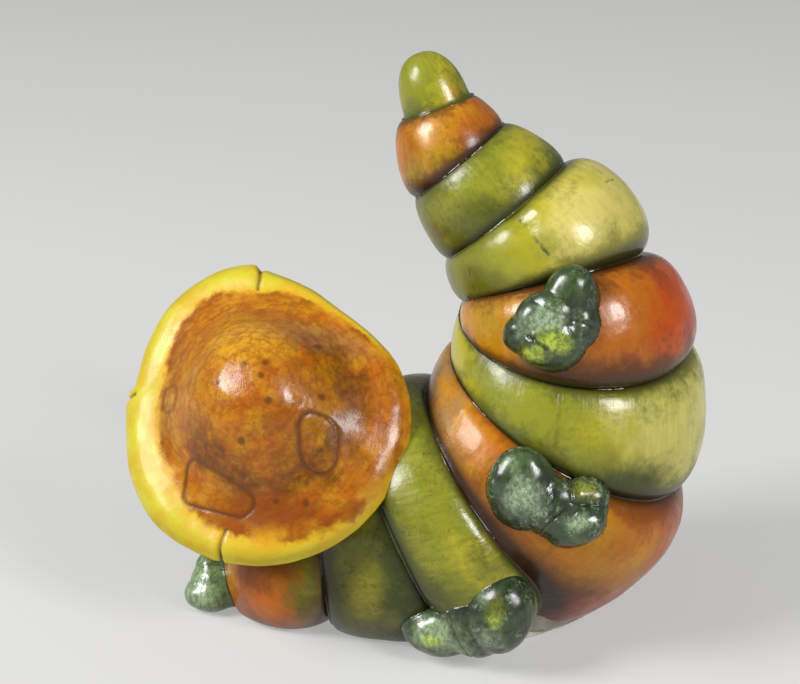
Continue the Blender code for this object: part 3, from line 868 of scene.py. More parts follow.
tailTip = {
    "length": 13.2,
    "swell": 0.04,
    "bluntness": 0.8,
    "segments": 200,
    "steps": 56,
    "filletReach": 0.7,
    "shadeReach": 1.4,
    "uneven": 0.22,
    "look": {
        "washes": ((0, "leaf"), (5, "leaf"), (9, "yellowGreen"), (16, "olive")), "streak": ("moss", 0.15),
        "specks": ("darkMoss", 0.7), "patchSize": 5.0, "wander": 4.0,
        "dabs": (((11.5, 4.0, 126.0), (3.0, 5.0, 4.0), "honey", 0.5),
                 ((3.0, 4.0, 122.0), (4.0, 5.0, 5.0), "moss", 0.5)),
    },
}


def makeTailTip():
    centre, axis, near, top = creaseFrame("behindTail1", -ringShape["overlap"])
    radius = near.length
    rows, groove, strokes = [], [], []
    for step in range(tailTip["steps"]):
        share = step / tailTip["steps"]
        angle = share * math.pi / 2
        size = math.cos(angle) ** tailTip["bluntness"] * (1 + tailTip["swell"] * math.sin(math.pi * share))
        climb = tailTip["length"] * math.sin(angle)
        fillet = ringShape["glazeInCrease"] * math.exp(-climb / tailTip["filletReach"]) / radius
        row = []
        for i in range(tailTip["segments"]):
            turn = 2 * math.pi * i / tailTip["segments"]
            arm = near * math.cos(turn) + top * math.sin(turn)
            point = centre + arm * (size + fillet) + axis * climb
            push = unevenness(point, 7.0, 2.0) * tailTip["uneven"] * min(1.0, climb / 2.0)
            row.append(point + arm.normalized() * push)
            groove.append(math.exp(-climb / tailTip["shadeReach"]))
            strokes.append((arm.x, arm.y + arm.z, climb * strokeShape))
        rows.append(row)
    mesh = skinFromRows("tailTip", rows, centre, centre + axis * tailTip["length"])
    keepNumbers(mesh, "groove", groove + [1.0, 0.0])
    keepVectors(mesh, "strokes", strokes + [(0.0, 0.0, 0.0), (0.0, 0.0, 2.0)])
    newPiece("tailTip", mesh, glazeMaterial("tailTipGlaze", tailTip["look"]), "tail_tip")
    print("tail tip")


makeTailTip()


# The mushroom cap: profiles give the height over the rim's plane at shares of the rim's radius
cap = {
    "centre": (-31.7, -10.7, 54.1),
    "axis": (-0.22, -0.735, 0.64),
    "diameter": 69.0,
    "domeHeight": 20.0,
    "outside": ((0.03, 20.0), (0.10, 19.75), (0.17, 19.2), (0.30, 17.0), (0.42, 13.4), (0.53, 9.4),
                (0.62, 6.6), (0.70, 5.0), (0.80, 3.8), (0.90, 2.9), (0.96, 1.8), (1.0, 0.1)),
    "inside": ((0.985, -1.4), (0.94, -2.2), (0.86, -1.6), (0.66, 0.4), (0.44, 1.6), (0.20, 2.2),
               (0.04, 2.3)),
    "waves": ((2, 0.060, -48.0), (3, 0.046, 1.0), (4, 0.020, 29.0)),
    "domeOffset": (0.8, 3.4),
    "segments": 480,
    "outsideRows": 112,
    "insideRows": 40,
    # the share of the radius at which brown gives way to the rolled yellow lip, by angle
    "lipFrom": {37: 0.94, 60: 0.90, 83: 0.87, 103: 0.79, 125: 0.85, 141: 0.83, 160: 0.77, 180: 0.72,
                205: 0.73, 225: 0.74, 240: 0.78, 256: 0.84, 275: 0.865, 295: 0.90, 320: 0.95, 345: 0.985,
                365: 1.03, 385: 1.01},
    # the side by the body bends down, and in a little
    "flare": {"angle": -25.0, "from": 0.60, "depth": 2.9, "inward": 1.0, "narrowness": 4.0},
    "lipHeight": 0.30,
    # clefts in the rim: angle, the share of the radius where it starts, depth, width
    "clefts": ((103.0, 0.80, 0.5, 0.5), (-93.5, 0.82, 0.5, 0.45), (179.0, 0.92, 0.3, 0.6)),
    # where the rim was torn a little: angle, how much further out it is past that, fading over these degrees
    "steps": ((102.0, 1.6, 26.0), (174.0, 1.3, 22.0)),
    # patches drawn with a point in the wet clay: corners across and up the cap, rounding, depth
    "patches": ((((-10.4, -16.0), (-10.6, -21.2), (1.4, -22.6), (2.4, -21.4)), 2.2, 0.16),
                (((17.3, -4.4), (17.8, -9.3)), 3.6, 0.14),
                (((-20.4, 1.0), (-19.9, -1.0)), 2.2, 0.07)),
    "scoredWidth": 0.40,
    "scoredBank": 0.15,  # clay pushed up beside a drawn line, as a share of its depth
    "cleftBank": 0.15,
    "cleftPinch": 0.014,
    "uneven": (0.40, 0.09),  # coarse and fine
}


# Points on a smooth curve through the given ones
def smoothThrough(stations, count):
    points = np.asarray(stations, float)
    padded = np.vstack([2 * points[0] - points[1], points, 2 * points[-1] - points[-2]])
    found = []
    for place in np.linspace(0, len(points) - 1, count):
        i = min(int(place), len(points) - 2)
        t = place - i
        a, b, c, d = padded[i:i + 4]
        found.append(0.5 * (2 * b + (c - a) * t + (2 * a - 5 * b + 4 * c - d) * t ** 2
                            + (3 * b - 3 * c + d - a) * t ** 3))
    return np.array(found)


# How far points lie outside a polygon, less than zero inside, or from a single line
def outsideOf(across, up, corners):
    place = np.stack([across, up], -1)
    nearest = np.full(across.shape, 1e9)
    inside = np.zeros(across.shape, bool)
    for a, b in zip(corners, corners[1:] + corners[:1]):
        a, b = np.array(a), np.array(b)
        share = np.clip(((place - a) @ (b - a)) / max((b - a) @ (b - a), 1e-9), 0, 1)
        nearest = np.minimum(nearest, np.linalg.norm(place - a - share[..., None] * (b - a), axis=-1))
        if len(corners) > 2:
            crosses = (a[1] > up) != (b[1] > up)
            inside ^= crosses & (across < (b[0] - a[0]) * (up - a[1]) / (b[1] - a[1] + 1e-12) + a[0])
    return np.where(inside, -nearest, nearest)


def capFrame():
    axis = Vector(cap["axis"]).normalized()
    side = Vector((0, 0, 1)).cross(axis).normalized()
    return Vector(cap["centre"]), axis, side, axis.cross(side)


def capWave(turn, lib=math):
    return sum(part * lib.cos(count * (turn - math.radians(shift))) for count, part, shift in cap["waves"])


# The rolled yellow lip: how far points are into it in millimetres, and how much it swells there
def capLip(share, turn, upper):
    stations = sorted((a % 360, s) for a, s in cap["lipFrom"].items())
    edge = np.interp(np.degrees(turn) % 360, [a for a, _ in stations], [s for _, s in stations], period=360)
    fromEdge = (share - edge) * cap["diameter"] / 2
    width = np.maximum(1.0 - edge, 0.0) * cap["diameter"] / 2
    over = np.clip(fromEdge / np.maximum(width, 0.5), 0, 1)
    fullness = cap["lipHeight"] * np.clip(width / 6.0, 0, 1)
    return fromEdge, fullness * np.sin(np.pi * over ** 1.2) ** 2 * upper


# Clefts and drawn patches: how deep they go, how dark they are, and how much they pinch the outline
def capScoring(share, turn, reach, across, up, upper):
    dip, groove, pinch = np.zeros((3, *share.shape))
    for angle, start, depth, width in cap["clefts"]:
        gap = (turn - math.radians(angle) + math.pi) % (2 * math.pi) - math.pi
        aside = gap * reach + 0.35 * np.sin(share * 22.0)
        along = np.clip((share - start) / (1.0 - start), 0, 1)
        cleft = bell(aside, width, np) * np.sqrt(along)
        dip += depth * cleft - cap["cleftBank"] * bell(np.abs(aside) - 1.8, 1.2, np) * along
        pinch += cleft * cap["cleftPinch"] * along
        groove = np.maximum(groove, bell(aside, 0.8 * width, np) * (along > 0.02))
    for corners, rounding, depth in cap["patches"]:
        line = np.abs(outsideOf(across, up, list(corners)) - rounding)
        scored = bell(line, cap["scoredWidth"], np) * upper
        dip += depth * scored
        dip -= cap["scoredBank"] * depth * bell(line - 1.2, 0.7, np) * upper
        groove = np.maximum(groove, bell(line, 0.55, np) * upper * min(1.0, depth / 0.12))
    return dip, groove, pinch


def makeCap():
    centre, axis, side, high = (np.array(v) for v in capFrame())
    outside = smoothThrough(cap["outside"], cap["outsideRows"])
    inside = smoothThrough((cap["outside"][-1],) + cap["inside"], cap["insideRows"])[1:]
    profile = np.vstack([outside, inside])
    share, height = (profile[:, [i]] * np.ones(cap["segments"]) for i in (0, 1))
    turn = np.linspace(0, 2 * math.pi, cap["segments"], endpoint=False)[None, :] * np.ones(share.shape)
    upper = (np.arange(len(profile)) < len(outside))[:, None] * np.ones(share.shape)
    reach = share * (1 + capWave(turn, np) * share ** 2) * cap["diameter"] / 2
    for angle, further, fading in cap["steps"]:
        past = (np.degrees(turn) - angle) % 360
        reach = reach + further * share ** 10 * np.exp(-past / fading) * (1 - np.exp(-past / 2.0))
    across = reach * np.cos(turn) + cap["domeOffset"][0] * (1 - share ** 2)
    up = reach * np.sin(turn) + cap["domeOffset"][1] * (1 - share ** 2)

    fromEdge, lift = capLip(share, turn, upper)
    dip, groove, pinch = capScoring(share, turn, reach, across, up, upper)
    flat = np.stack([across, up, 0 * up], -1)
    across, up = across * (1 - pinch), up * (1 - pinch)
    flare = cap["flare"]
    facing = np.maximum(np.cos(turn - math.radians(flare["angle"])), 0.0) ** flare["narrowness"]
    facing = facing * (np.clip(share - flare["from"], 0, 1) / (1 - flare["from"])) ** 2
    height = height - flare["depth"] * facing
    across = across - flare["inward"] * facing * np.cos(turn)
    up = up - flare["inward"] * facing * np.sin(turn)
    points = centre + across[..., None] * side + up[..., None] * high + height[..., None] * axis

    rowStep = np.gradient(points, axis=0)
    turnStep = np.roll(points, -1, 1) - np.roll(points, 1, 1)
    normals = np.cross(turnStep, rowStep)
    normals /= np.linalg.norm(normals, axis=-1, keepdims=True) + 1e-12
    if (normals[3, 0] @ axis) < 0:
        normals = -normals
    coarse, fine = cap["uneven"]
    push = np.array([[unevenness(p, 11.0, 5.0) * coarse + unevenness(p, 3.8, 8.0) * fine for p in row]
                     for row in points])
    points = points + normals * (push + lift - dip * np.where(upper > 0, 1.0, 0.35))[..., None]

    offset = side * cap["domeOffset"][0] + high * cap["domeOffset"][1]
    top = centre + axis * cap["domeHeight"] + offset
    bottom = centre + axis * cap["inside"][-1][1] + offset
    mesh = skinFromRows("mushroomCap", points, top, bottom)
    yellow = fromEdge * upper + (1 - upper) * 3.0
    under = (1 - upper) * np.clip((0.93 - share) / 0.08, 0, 1)
    strokes = np.stack([reach, 5.5 * np.cos(turn), 5.5 * np.sin(turn)], -1)
    keepNumbers(mesh, "groove", np.append(groove.ravel(), [0, 0]))
    keepNumbers(mesh, "yellow", np.append(yellow.ravel(), [-20, 3]))
    keepNumbers(mesh, "under", np.append(under.ravel(), [0, 1]))
    for label, values in (("capPlace", flat), ("strokes", strokes)):
        keepVectors(mesh, label, np.vstack([values.reshape(-1, 3), np.zeros((2, 3))]))
    newPiece("mushroomCap", mesh, capMaterial(), "mushroom_cap")
    print("cap", len(mesh.polygons), "faces")


# Places on the cap are across and up it, from the middle of its rim
capLook = {
    # The cream dab on the brim's left is a painted sheen; the grey-brown dab at the upper right is brushwork
    # with a painted sheen on it
    "dabs": (((-1.0, 12.0, 0.0), (15.0, 9.0, 5.0), "gold", 1.0),
             ((-9.0, 0.0, 0.0), (12.0, 10.0, 5.0), "honey", 0.6),
             ((-23.0, -4.0, 0.0), (6.0, 12.0, 5.0), "cream", 0.55),
             ((-4.5, -20.2, 0.0), (8.0, 4.0, 5.0), "gold", 0.5),
             ((17.5, -6.8, 0.0), (4.0, 6.0, 5.0), "gold", 0.35),
             ((26.0, 2.0, 0.0), (9.0, 14.0, 5.0), "amber", 0.75),
             ((8.0, -23.0, 0.0), (22.0, 8.0, 5.0), "rust", 0.85),
             ((14.0, 18.0, 0.0), (16.0, 6.0, 5.0), "greyBrown", 0.45),
             ((-22.0, 10.0, 0.0), (5.0, 12.0, 5.0), "greyBrown", 0.30),
             ((-20.0, -10.0, 0.0), (5.0, 10.0, 5.0), "rust", 0.35)),
    # painted shade round the foot of the dome, on its lower right side
    "shadow": {"centre": (5.0, 1.0, 0.0), "size": 18.0, "width": 5.0},
    "spots": ((0.5, 6.0), (5.2, 7.2), (5.0, 4.0), (7.5, -1.2), (-4.5, 1.5), (2.0, -10.1), (9.5, -20.2),
              (16.0, -19.5), (2.0, -16.2), (12.8, 15.5), (17.0, 3.0)),
    "spotSize": 1.15,
    "texture": {"patchSize": 7.0, "strokeWidth": 1.5, "speckSize": 0.9},
    "streaks": 0.28,
    "fineStreaks": 0.45,
    "grain": 0.18,
    "driedEdge": 0.42,
    "spotShare": 0.8,
    "specks": 0.5,
    "raggedness": 4.4,  # of the edge between brown and yellow, in millimetres
    "specular": 0.30,
}


def capMaterial():
    material, w, shader, place = newMaterial("mushroomCapGlaze")
    capPlace, strokes = attribute(w, "capPlace", "Vector"), attribute(w, "strokes", "Vector")
    texture = textureAt(w, place, strokes, **capLook["texture"])
    clouds = texture["Clouds"]
    paint = w.between(w.spread(w.noise(place, 0.20, 4.0, 0.6), 0.36, 0.64), "honey", "amber")
    paint = dabbed(w, paint, capPlace, capLook["dabs"])
    paint = w.layer(paint, texture["Streaks"], capLook["streaks"], "brown")
    fine = w.spread(w.noise(w.scaled(strokes, 1.5), 0.8, 4.0, 0.7), 0.48, 0.72)
    paint = w.layer(paint, fine, capLook["fineStreaks"], "brown")
    paint = w.layer(paint, texture["Grain"], capLook["grain"], "rust")
    # where a wash dried it left a thin dark edge
    tide = w.math("ABSOLUTE", w.centred(w.noise(place, 0.24, 2.0, 0.55)))
    paint = w.mix(w.spread(tide, 0.0, 0.09, capLook["driedEdge"], 0.0), paint, colour("rust"))
    # painted shade in a ring round the dome's foot, kept to its lower right side
    domeShade = capLook["shadow"]
    ring = w.math("SUBTRACT", w.vector("DISTANCE", capPlace, domeShade["centre"]), domeShade["size"])
    ring = w.timesPlus(w.centred(clouds), 4.0, ring)
    ring = w.spread(w.math("ABSOLUTE", ring), 0.0, domeShade["width"], 1.0, 0.0)
    below = w.spread(w.math("SUBTRACT", w.parts(capPlace)["Y"], w.parts(capPlace)["X"]), 14.0, -4.0)
    ring = w.times(w.times(ring, below), w.timesPlus(texture["Grain"], 0.4, 0.55))
    paint = w.mix(ring, paint, colour("brown"))
    spots, size = 0.0, (capLook["spotSize"],) * 3
    for u, v in capLook["spots"]:
        spot = w.group(dab, Place=capPlace, Centre=(u, v, 0.0), Size=size, Softness=0.7, Raggedness=0.8)
        spots = w.math("MAXIMUM", spots, spot["Mask"])
    paint = w.layer(paint, spots, capLook["spotShare"], "brown")
    paint = w.layer(paint, texture["Specks"], capLook["specks"], "brown")
    # the yellow lip: the brown glaze thins to gold and ends in a ragged edge
    ragged = w.times(w.centred(w.noise(place, 0.34, 4.0, 0.6)), capLook["raggedness"])
    edge = w.math("ADD", attribute(w, "yellow"), ragged)
    thin = w.between(clouds, "rust", "gold")
    paint = w.mix(w.times(w.spread(edge, -4.0, -0.2), 0.75), paint, thin)
    lemon = w.between(clouds, "lemon", "deepLemon")
    lemon = w.layer(lemon, w.spread(edge, 3.0, 0.2), 0.6, "gold")
    paint = w.mix(w.spread(edge, -0.9, 0.9), paint, lemon)
    paint = w.mix(attribute(w, "under"), paint, w.between(clouds, "butter", "honey"))
    paint = w.layer(paint, attribute(w, "groove"), 0.92, "brown")
    rough = w.spread(clouds, 0.0, 1.0, 0.20, 0.32)
    rough = w.timesPlus(w.spread(edge, -1.0, 2.0), 0.16, rough)
    return finishGlaze(material, w, shader, paint, rough, texture["Height"], specular=capLook["specular"])


makeCap()


# Gills under the cap: thin blades that follow its underside, all round
gills = {
    "count": 64,
    "inner": (0.46, 1.45),  # share of the rim's radius, height over the rim's plane
    "middle": (0.66, 0.6),
    "outer": (0.90, -2.0),
    "drop": 1.1,
    "thickness": 0.55,
    "look": {"washes": ((-64, "butter"), (-40, "honey"), (-20, "butter"), (4, "honey")),
             "streak": ("brown", 0.3), "specks": ("brown", 0.3), "patchSize": 6.0},
}


def makeGillTree():
    takes = {"Inner": (arrow, None), "Middle": (arrow, None), "Outer": (arrow, None), "Count": (whole, 48),
             "Thickness": (number, 0.5 * mm), "Drop": (number, 1.0 * mm), "Glaze": glazeSocket}
    for count, _, _ in cap["waves"]:
        takes.update({"Wave %d" % count: (number, 0.0), "Wave %d Shift" % count: (number, 0.0)})
    tree, w, given, out = newTree("GeometryNodeTree", "radialGills", takes, shapeOut)
    corners = {"Start": given["Inner"], "Middle": given["Middle"], "End": given["Outer"]}
    spine = w.made("GeometryNodeCurveQuadraticBezier", {"Resolution": 14, **corners}).outputs[0]
    outline = w.made("GeometryNodeCurvePrimitiveCircle", {"Resolution": 8, "Radius": 1.0}).outputs["Curve"]
    flatness = w.joined(given["Drop"], w.times(given["Thickness"], 0.5), 1.0)
    squashed = w.made("GeometryNodeTransform", {"Geometry": outline, "Scale": flatness}).outputs[0]
    along = w.add("GeometryNodeSplineParameter").outputs["Factor"]
    taper = w.times(w.math("SUBTRACT", 1.0, along), w.times(along, 4.0))
    taper = w.timesPlus(w.math("POWER", taper, 0.5), 0.9, 0.1)
    blade = w.made("GeometryNodeCurveToMesh", {"Curve": spine, "Profile Curve": squashed, "Scale": taper,
                                               "Fill Caps": True}).outputs[0]
    # the blades stand on points at the middle, each turned its own way and stretched with the wavy rim
    middle = w.made("GeometryNodeMeshCircle", {"Vertices": given["Count"], "Radius": 0.0001 * mm}).outputs[0]
    index = w.add("GeometryNodeInputIndex").outputs[0]
    angle = w.times(w.math("DIVIDE", index, given["Count"]), 2 * math.pi)
    swing = 0.0
    for count, _, _ in cap["waves"]:
        bend = w.math("SUBTRACT", angle, given["Wave %d Shift" % count])
        bend = w.math("COSINE", w.times(bend, float(count)))
        swing = w.timesPlus(bend, given["Wave %d" % count], swing)
    stretch = w.timesPlus(swing, 0.6, 1.0)
    fan = w.made("GeometryNodeInstanceOnPoints", {
        "Points": middle, "Instance": blade, "Rotation": w.joined(0.0, 0.0, angle),
        "Scale": w.joined(stretch, 1.0, 1.0)})
    w.finish(fan.outputs[0], given["Glaze"], out)
    return tree


def makeGills():
    centre, axis, side, high = capFrame()
    radius = cap["diameter"] / 2
    glaze = glazeMaterial("gillGlaze", gills["look"])
    values = {"Count": gills["count"], "Thickness": gills["thickness"] * mm, "Drop": gills["drop"] * mm,
              "Glaze": glaze}
    for label in ("inner", "middle", "outer"):
        share, height = gills[label]
        values[label.capitalize()] = Vector((share * radius, 0.0, height)) * mm
    for count, part, shift in cap["waves"]:
        values["Wave %d" % count] = part
        values["Wave %d Shift" % count] = math.radians(shift)
    mesh = shapeFromTree("capGills", makeGillTree(), values)
    place = Matrix((side, high, axis)).transposed().to_4x4()
    place.translation = centre * mm
    mesh.transform(place)
    newPiece("capGills", mesh, glaze, slot="brown_glaze")
    print("gills", len(mesh.polygons), "faces")


makeGills()


# Head under the hat, with its eyes and nose. The face looks away from the camera
head = {
    "centre": (-36.0, 3.0, 43.0),
    "radius": 16.5,
    "turn": 12.0,
    "eyeRadius": 3.4,
    "eyeSpread": 24.0,
    "eyeRise": 14.0,
    "noseRadius": 2.6,
    "noseRise": -6.0,
    "mouthRise": -19.0,
    "mouthHalfWidth": 25.0,
    "mouthCurl": 9.0,
    "mouthWidth": 0.55,
    "mouthDepth": 0.55,
    "lips": (1.3, 0.8, 0.12),  # how far from the mouth's line, width, height
    "cheeks": ((34, -12), (-34, -12)),
    "cheekWidth": 5.0,
    "cheekHeight": 0.15,
    "uneven": 0.2,
    "inset": 0.25,
    "look": {"washes": ((-52, "olive"), (-42, "leaf"), (-30, "yellowGreen"), (-18, "leaf")),
             "streak": ("moss", 0.25), "shade": ("olive", 0.3), "line": ("darkBrown", 0.95),
             "specks": ("darkMoss", 0.5)},
    "eyeLook": {"washes": ((-60, "white"), (0, "white")), "streak": ("cream", 0.3),
                "specks": ("greyBrown", 0.15), "shade": ("brown", 0.0), "line": ("brown", 0.0),
                "roughness": (0.08, 0.12), "bump": 0.15},
    "noseLook": {"washes": ((-60, "red"), (0, "red")), "streak": ("rust", 0.4), "bump": 0.2,
                 "specks": ("darkBrown", 0.2), "shade": ("brown", 0.0), "line": ("brown", 0.0)},
}


def faceWay(side, rise):
    turn, up = math.radians(90 - head["turn"] + side), math.radians(rise)
    return Vector((math.cos(turn) * math.cos(up), math.sin(turn) * math.cos(up), math.sin(up)))


def makeHead():
    bm = bmesh.new()
    bmesh.ops.create_uvsphere(bm, u_segments=160, v_segments=96, radius=1.0)
    half = head["mouthHalfWidth"]
    mouth = [faceWay(side, head["mouthRise"] + head["mouthCurl"] * (side / half) ** 2)
             for side in np.linspace(-half, half, 25)]
    cheeks = [faceWay(*cheek) for cheek in head["cheeks"]]
    centre, reach = Vector(head["centre"]), head["radius"]
    lipGap, lipWidth, lipHeight = head["lips"]
    groove = []
    for v in bm.verts:
        way = v.co.normalized()
        near = min((way - m).length for m in mouth) * reach
        cut = bell(near, head["mouthWidth"])
        puff = max(bell((way - c).length * reach, head["cheekWidth"]) for c in cheeks)
        lump = unevenness(way * reach, 8.0, 4.0)
        lift = lipHeight * bell(near - lipGap, lipWidth) - head["mouthDepth"] * cut
        lift = lift + head["cheekHeight"] * puff + head["uneven"] * lump - head["inset"]
        v.co = centre * mm + way * (reach + lift) * mm
        groove.append(cut)
    mesh = meshFrom(bm, "head")
    makeSmooth(mesh)
    points = np.array([v.co for v in mesh.vertices]) / mm - np.array(centre)
    keepNumbers(mesh, "groove", groove)
    keepVectors(mesh, "strokes", points * (1.0, 1.0, 0.2))
    blush = tuple((tuple(centre + way * reach), (4.5, 4.5, 4.0), "orange", 0.55) for way in cheeks)
    newPiece("head", mesh, glazeMaterial("headGlaze", {**head["look"], "dabs": blush}), "head")


# A bead on the head, its inner part sunk into it
def makeBead(name, node, side, rise, radius, flatten, material):
    way = faceWay(side, rise)
    bm = bmesh.new()
    bmesh.ops.create_uvsphere(bm, u_segments=48, v_segments=32, radius=radius)
    squash = Matrix.Scale(flatten, 4, (0, 0, 1))
    place = Matrix.Translation(Vector(head["centre"]) + way * (head["radius"] - 0.1 * radius))
    lean = way.to_track_quat("Z", "Y").to_matrix().to_4x4()
    bmesh.ops.transform(bm, matrix=place @ lean @ squash, verts=bm.verts[:])
    bmesh.ops.scale(bm, vec=(mm, mm, mm), verts=bm.verts[:])
    mesh = meshFrom(bm, name)
    makeSmooth(mesh)
    points = np.array([v.co for v in mesh.vertices]) / mm
    keepNumbers(mesh, "groove", np.zeros(len(points)))
    keepVectors(mesh, "strokes", points)
    newPiece(name, mesh, material, node)


def eyeMaterial(side):
    way = faceWay(side, head["eyeRise"])
    pupil = Vector(head["centre"]) + way * (head["radius"] + head["eyeRadius"] * 0.8)
    dabs = ((tuple(pupil), (2.1, 2.1, 2.6), "black", 1.0),)
    return glazeMaterial("eyeGlaze", {**head["eyeLook"], "dabs": dabs})


makeHead()
for name, node, way in (("leftEye", "left_eye", 1), ("rightEye", "right_eye", -1)):
    spread = way * head["eyeSpread"]
    makeBead(name, node, spread, head["eyeRise"], head["eyeRadius"], 0.85, eyeMaterial(spread))
noseGlaze = glazeMaterial("noseGlaze", head["noseLook"])
makeBead("nose", "nose", 0.0, head["noseRise"], head["noseRadius"], 0.9, noseGlaze)
print("head and face")


# Legs: lumps of clay pressed on, each lobe with its way from a crease, half sizes and lean.
# Lobes marked as joining only fill the space between the others
legs = {
    "legLeft1": {
        "node": "leg_left_1", "crease": "neck", "carriers": ("chestRing",),
        "lobes": (((-15.9, -4.2, -26), (6.8, 6, 4.4), 0, "shown"),
                  ((-15.8, -1, -22.8), (4.2, 5, 5.8), -14, "joining"),
                  ((-15.6, -2.8, -24.4), (6, 5.6, 5.4), -10, "joining"),
                  ((-10.4, -0.6, -23.4), (6, 6, 5.5), 0, "joining")),
    },
    "legLeft2": {
        "node": "leg_left_2", "crease": "behindRing3", "carriers": ("bodyRing4", "bodyRing3", "rumpRing"),
        "creaseDepth": 0.3,
        "lobes": (((-1.8, -31.2, -16.8), (7.4, 6.8, 9.4), 14, "shown"),
                  ((-14.2, -25.1, -24), (9.4, 6.4, 6.2), -4, "shown"),
                  ((-12.6, -26, -22.2), (7.4, 5.4, 5.8), -12, "joining"),
                  ((-6.8, -28.6, -20.6), (8.8, 6.4, 7.8), 0, "joining")),
    },
    "legLeft3": {
        "node": "leg_left_3", "crease": "behindRump", "carriers": ("rumpRing", "bodyRing2"),
        "lobes": (((-12.1, -34, -4.1), (7.4, 5.4, 9.4), -8, "shown"),
                  ((-0.3, -36, -11.9), (6.8, 4.6, 4.4), -14, "shown"),
                  ((1.5, -33, -5.7), (5.6, 3.6, 2.9), 6, "shown"),
                  ((-5.6, -35.4, -8), (6.4, 4.8, 6.6), 0, "joining"),
                  ((1.8, -33.8, -8.6), (5, 3.6, 3.2), -4, "joining"),
                  ((0, -33.6, -8.6), (5, 3.6, 3.4), 0, "joining")),
    },
    "legLeft4": {
        "node": "leg_left_4", "crease": "behindRing2", "carriers": ("bodyRing2", "bodyRing1", "tailRing3"),
        "creaseDepth": 0.12,
        "lobes": (((-3.1, -25.1, 15.6), (5.8, 5, 7.8), 10, "shown"),
                  ((-7.2, -28.1, 7.2), (7.2, 5.2, 6.4), -6, "shown"),
                  ((-13.4, -26.1, 8.1), (4, 3.8, 4.4), 0, "joining"),
                  ((-9.6, -26.5, 11.2), (5.6, 4.6, 5.6), 30, "joining"),
                  ((-1.4, -26.4, 10.4), (4.6, 4.6, 5.6), 0, "joining"),
                  ((-6.4, -26.7, 12.1), (6.4, 4.8, 6.2), 35, "joining")),
    },
    "legRight1": {
        "node": "leg_right_1", "crease": "neck", "carriers": ("chestRing",),
        "lobes": (((5.5, 20.3, -25), (6.2, 6.2, 5.2), 0, "shown"),
                  ((4, 14.6, -22.4), (5.5, 6, 5.5), 0, "joining")),
    },
    "legRight2": {"node": "leg_right_2", "mirrors": "legLeft2", "ring": "bodyRing3", "outward": 1},
    "legRight3": {"node": "leg_right_3", "mirrors": "legLeft3", "ring": "rumpRing", "outward": 2.4},
    "legRight4": {"node": "leg_right_4", "mirrors": "legLeft4", "ring": "bodyRing1", "outward": -1.2},
}
legShape = {
    "voxel": 0.36,
    "smoothing": 30,
    "grow": 0.25,  # makes up for what the smoothing takes away
    "creaseDepth": 0.5,  # where one lobe meets the next
    "creaseWidth": 0.07,
    "lumps": 0.4,
    "lumpSize": 5.6,
    "fillet": 0.8,
    "filletReach": 0.6,
    "filletEnd": 4.0,
    "lift": 0.3,  # the lowest height of a leg over the ground
}
legLook = {
    "frostAndSheen": {"legLeft4": 0.35, "legLeft2": 0.5, "legLeft1": 0.3},
    "wrinkles": {"legLeft1": 0.6, "legRight1": 0.6},
    "texture": {"patchSize": 5, "strokeWidth": 1.7, "speckSize": 0.6}, "frostAndSheenShare": 0.7, "ridges": 0.15,
    "foldSize": 0.42, "foldDepth": 0.35, "bump": 0.5, "specular": 0.55,
    # On legs 2, 3 and 4 the celadon dabs are frosty glaze with painted highlights on lobes facing the lamps;
    # on legLeft2's toe they also lighten it where it lies in shade
    "dabs": {
        "legLeft1": (((-46, -4, 6), (16, 16, 16), "sage", 1.5), ((-49, -6, 7), (7, 9, 9), "celadon", 0.7)),
        "legLeft2": (((10, -31, 9.5), (12, 9, 8), "sage", 1), ((9, -32, 9.5), (11, 9, 6.5), "celadon", 0.6),
                     ((21, -37.5, 19), (3.6, 5, 5.4), "olive", 0.9),
                     ((21, -38.5, 17), (2.4, 4, 3), "lime", 0.5),
                     ((17.6, -37, 23), (3.4, 5, 4.6), "celadon", 0.8),
                     ((20.5, -36, 12), (5.5, 6, 4.5), "celadon", 0.9),
                     ((14, -33, 7), (6, 6, 3), "celadon", 0.6),
                     ((7.4, -32.3, 8.6), (3.4, 3.4, 2.2), "lime", 1)),
        "legLeft3": (((24, -35, 54), (7, 4, 2.4), "sage", 0.8),
                     ((27, -38, 46.5), (6.2, 5.5, 7.6), "celadon", 1.1),
                     ((40.4, -34, 46.5), (6, 4.5, 2.8), "leaf", 0.9),
                     ((39.3, -38, 40.5), (4.5, 4.5, 2.6), "celadon", 0.8),
                     ((39, -40, 36.8), (3.6, 4, 2.2), "fern", 0.9)),
        "legLeft4": (((36, -28, 91), (7, 6, 6), "fern", 0.35), ((31, -31, 85.2), (7.6, 6, 4), "celadon", 1),
                     ((32.8, -31.5, 80), (6, 5, 4.2), "lime", 1.1),
                     ((28.4, -30.5, 77), (6, 4, 3), "lime", 1),
                     ((26, -29, 83), (3.4, 4, 4), "celadon", 0.4)),
    },
    "scores": {
        "legLeft4": (((25, -29, 81.4), (28.6, -31, 80.6), 0.8),
                     ((28.6, -31, 80.6), (31.4, -32, 78.8), 0.8)),
        "legLeft3": (((24.5, -37, 51.5), (27.6, -38.5, 48), 0.5),
                     ((27.6, -38.5, 48), (22.5, -38, 43.5), 0.45),
                     ((27.6, -38.5, 48), (31, -38, 50.4), 0.5), ((33.2, -36, 51), (33.5, -38, 42), 1.3)),
        "legLeft2": (((12, -33, 14.5), (18, -36, 10.5), 0.5),),
    },
}


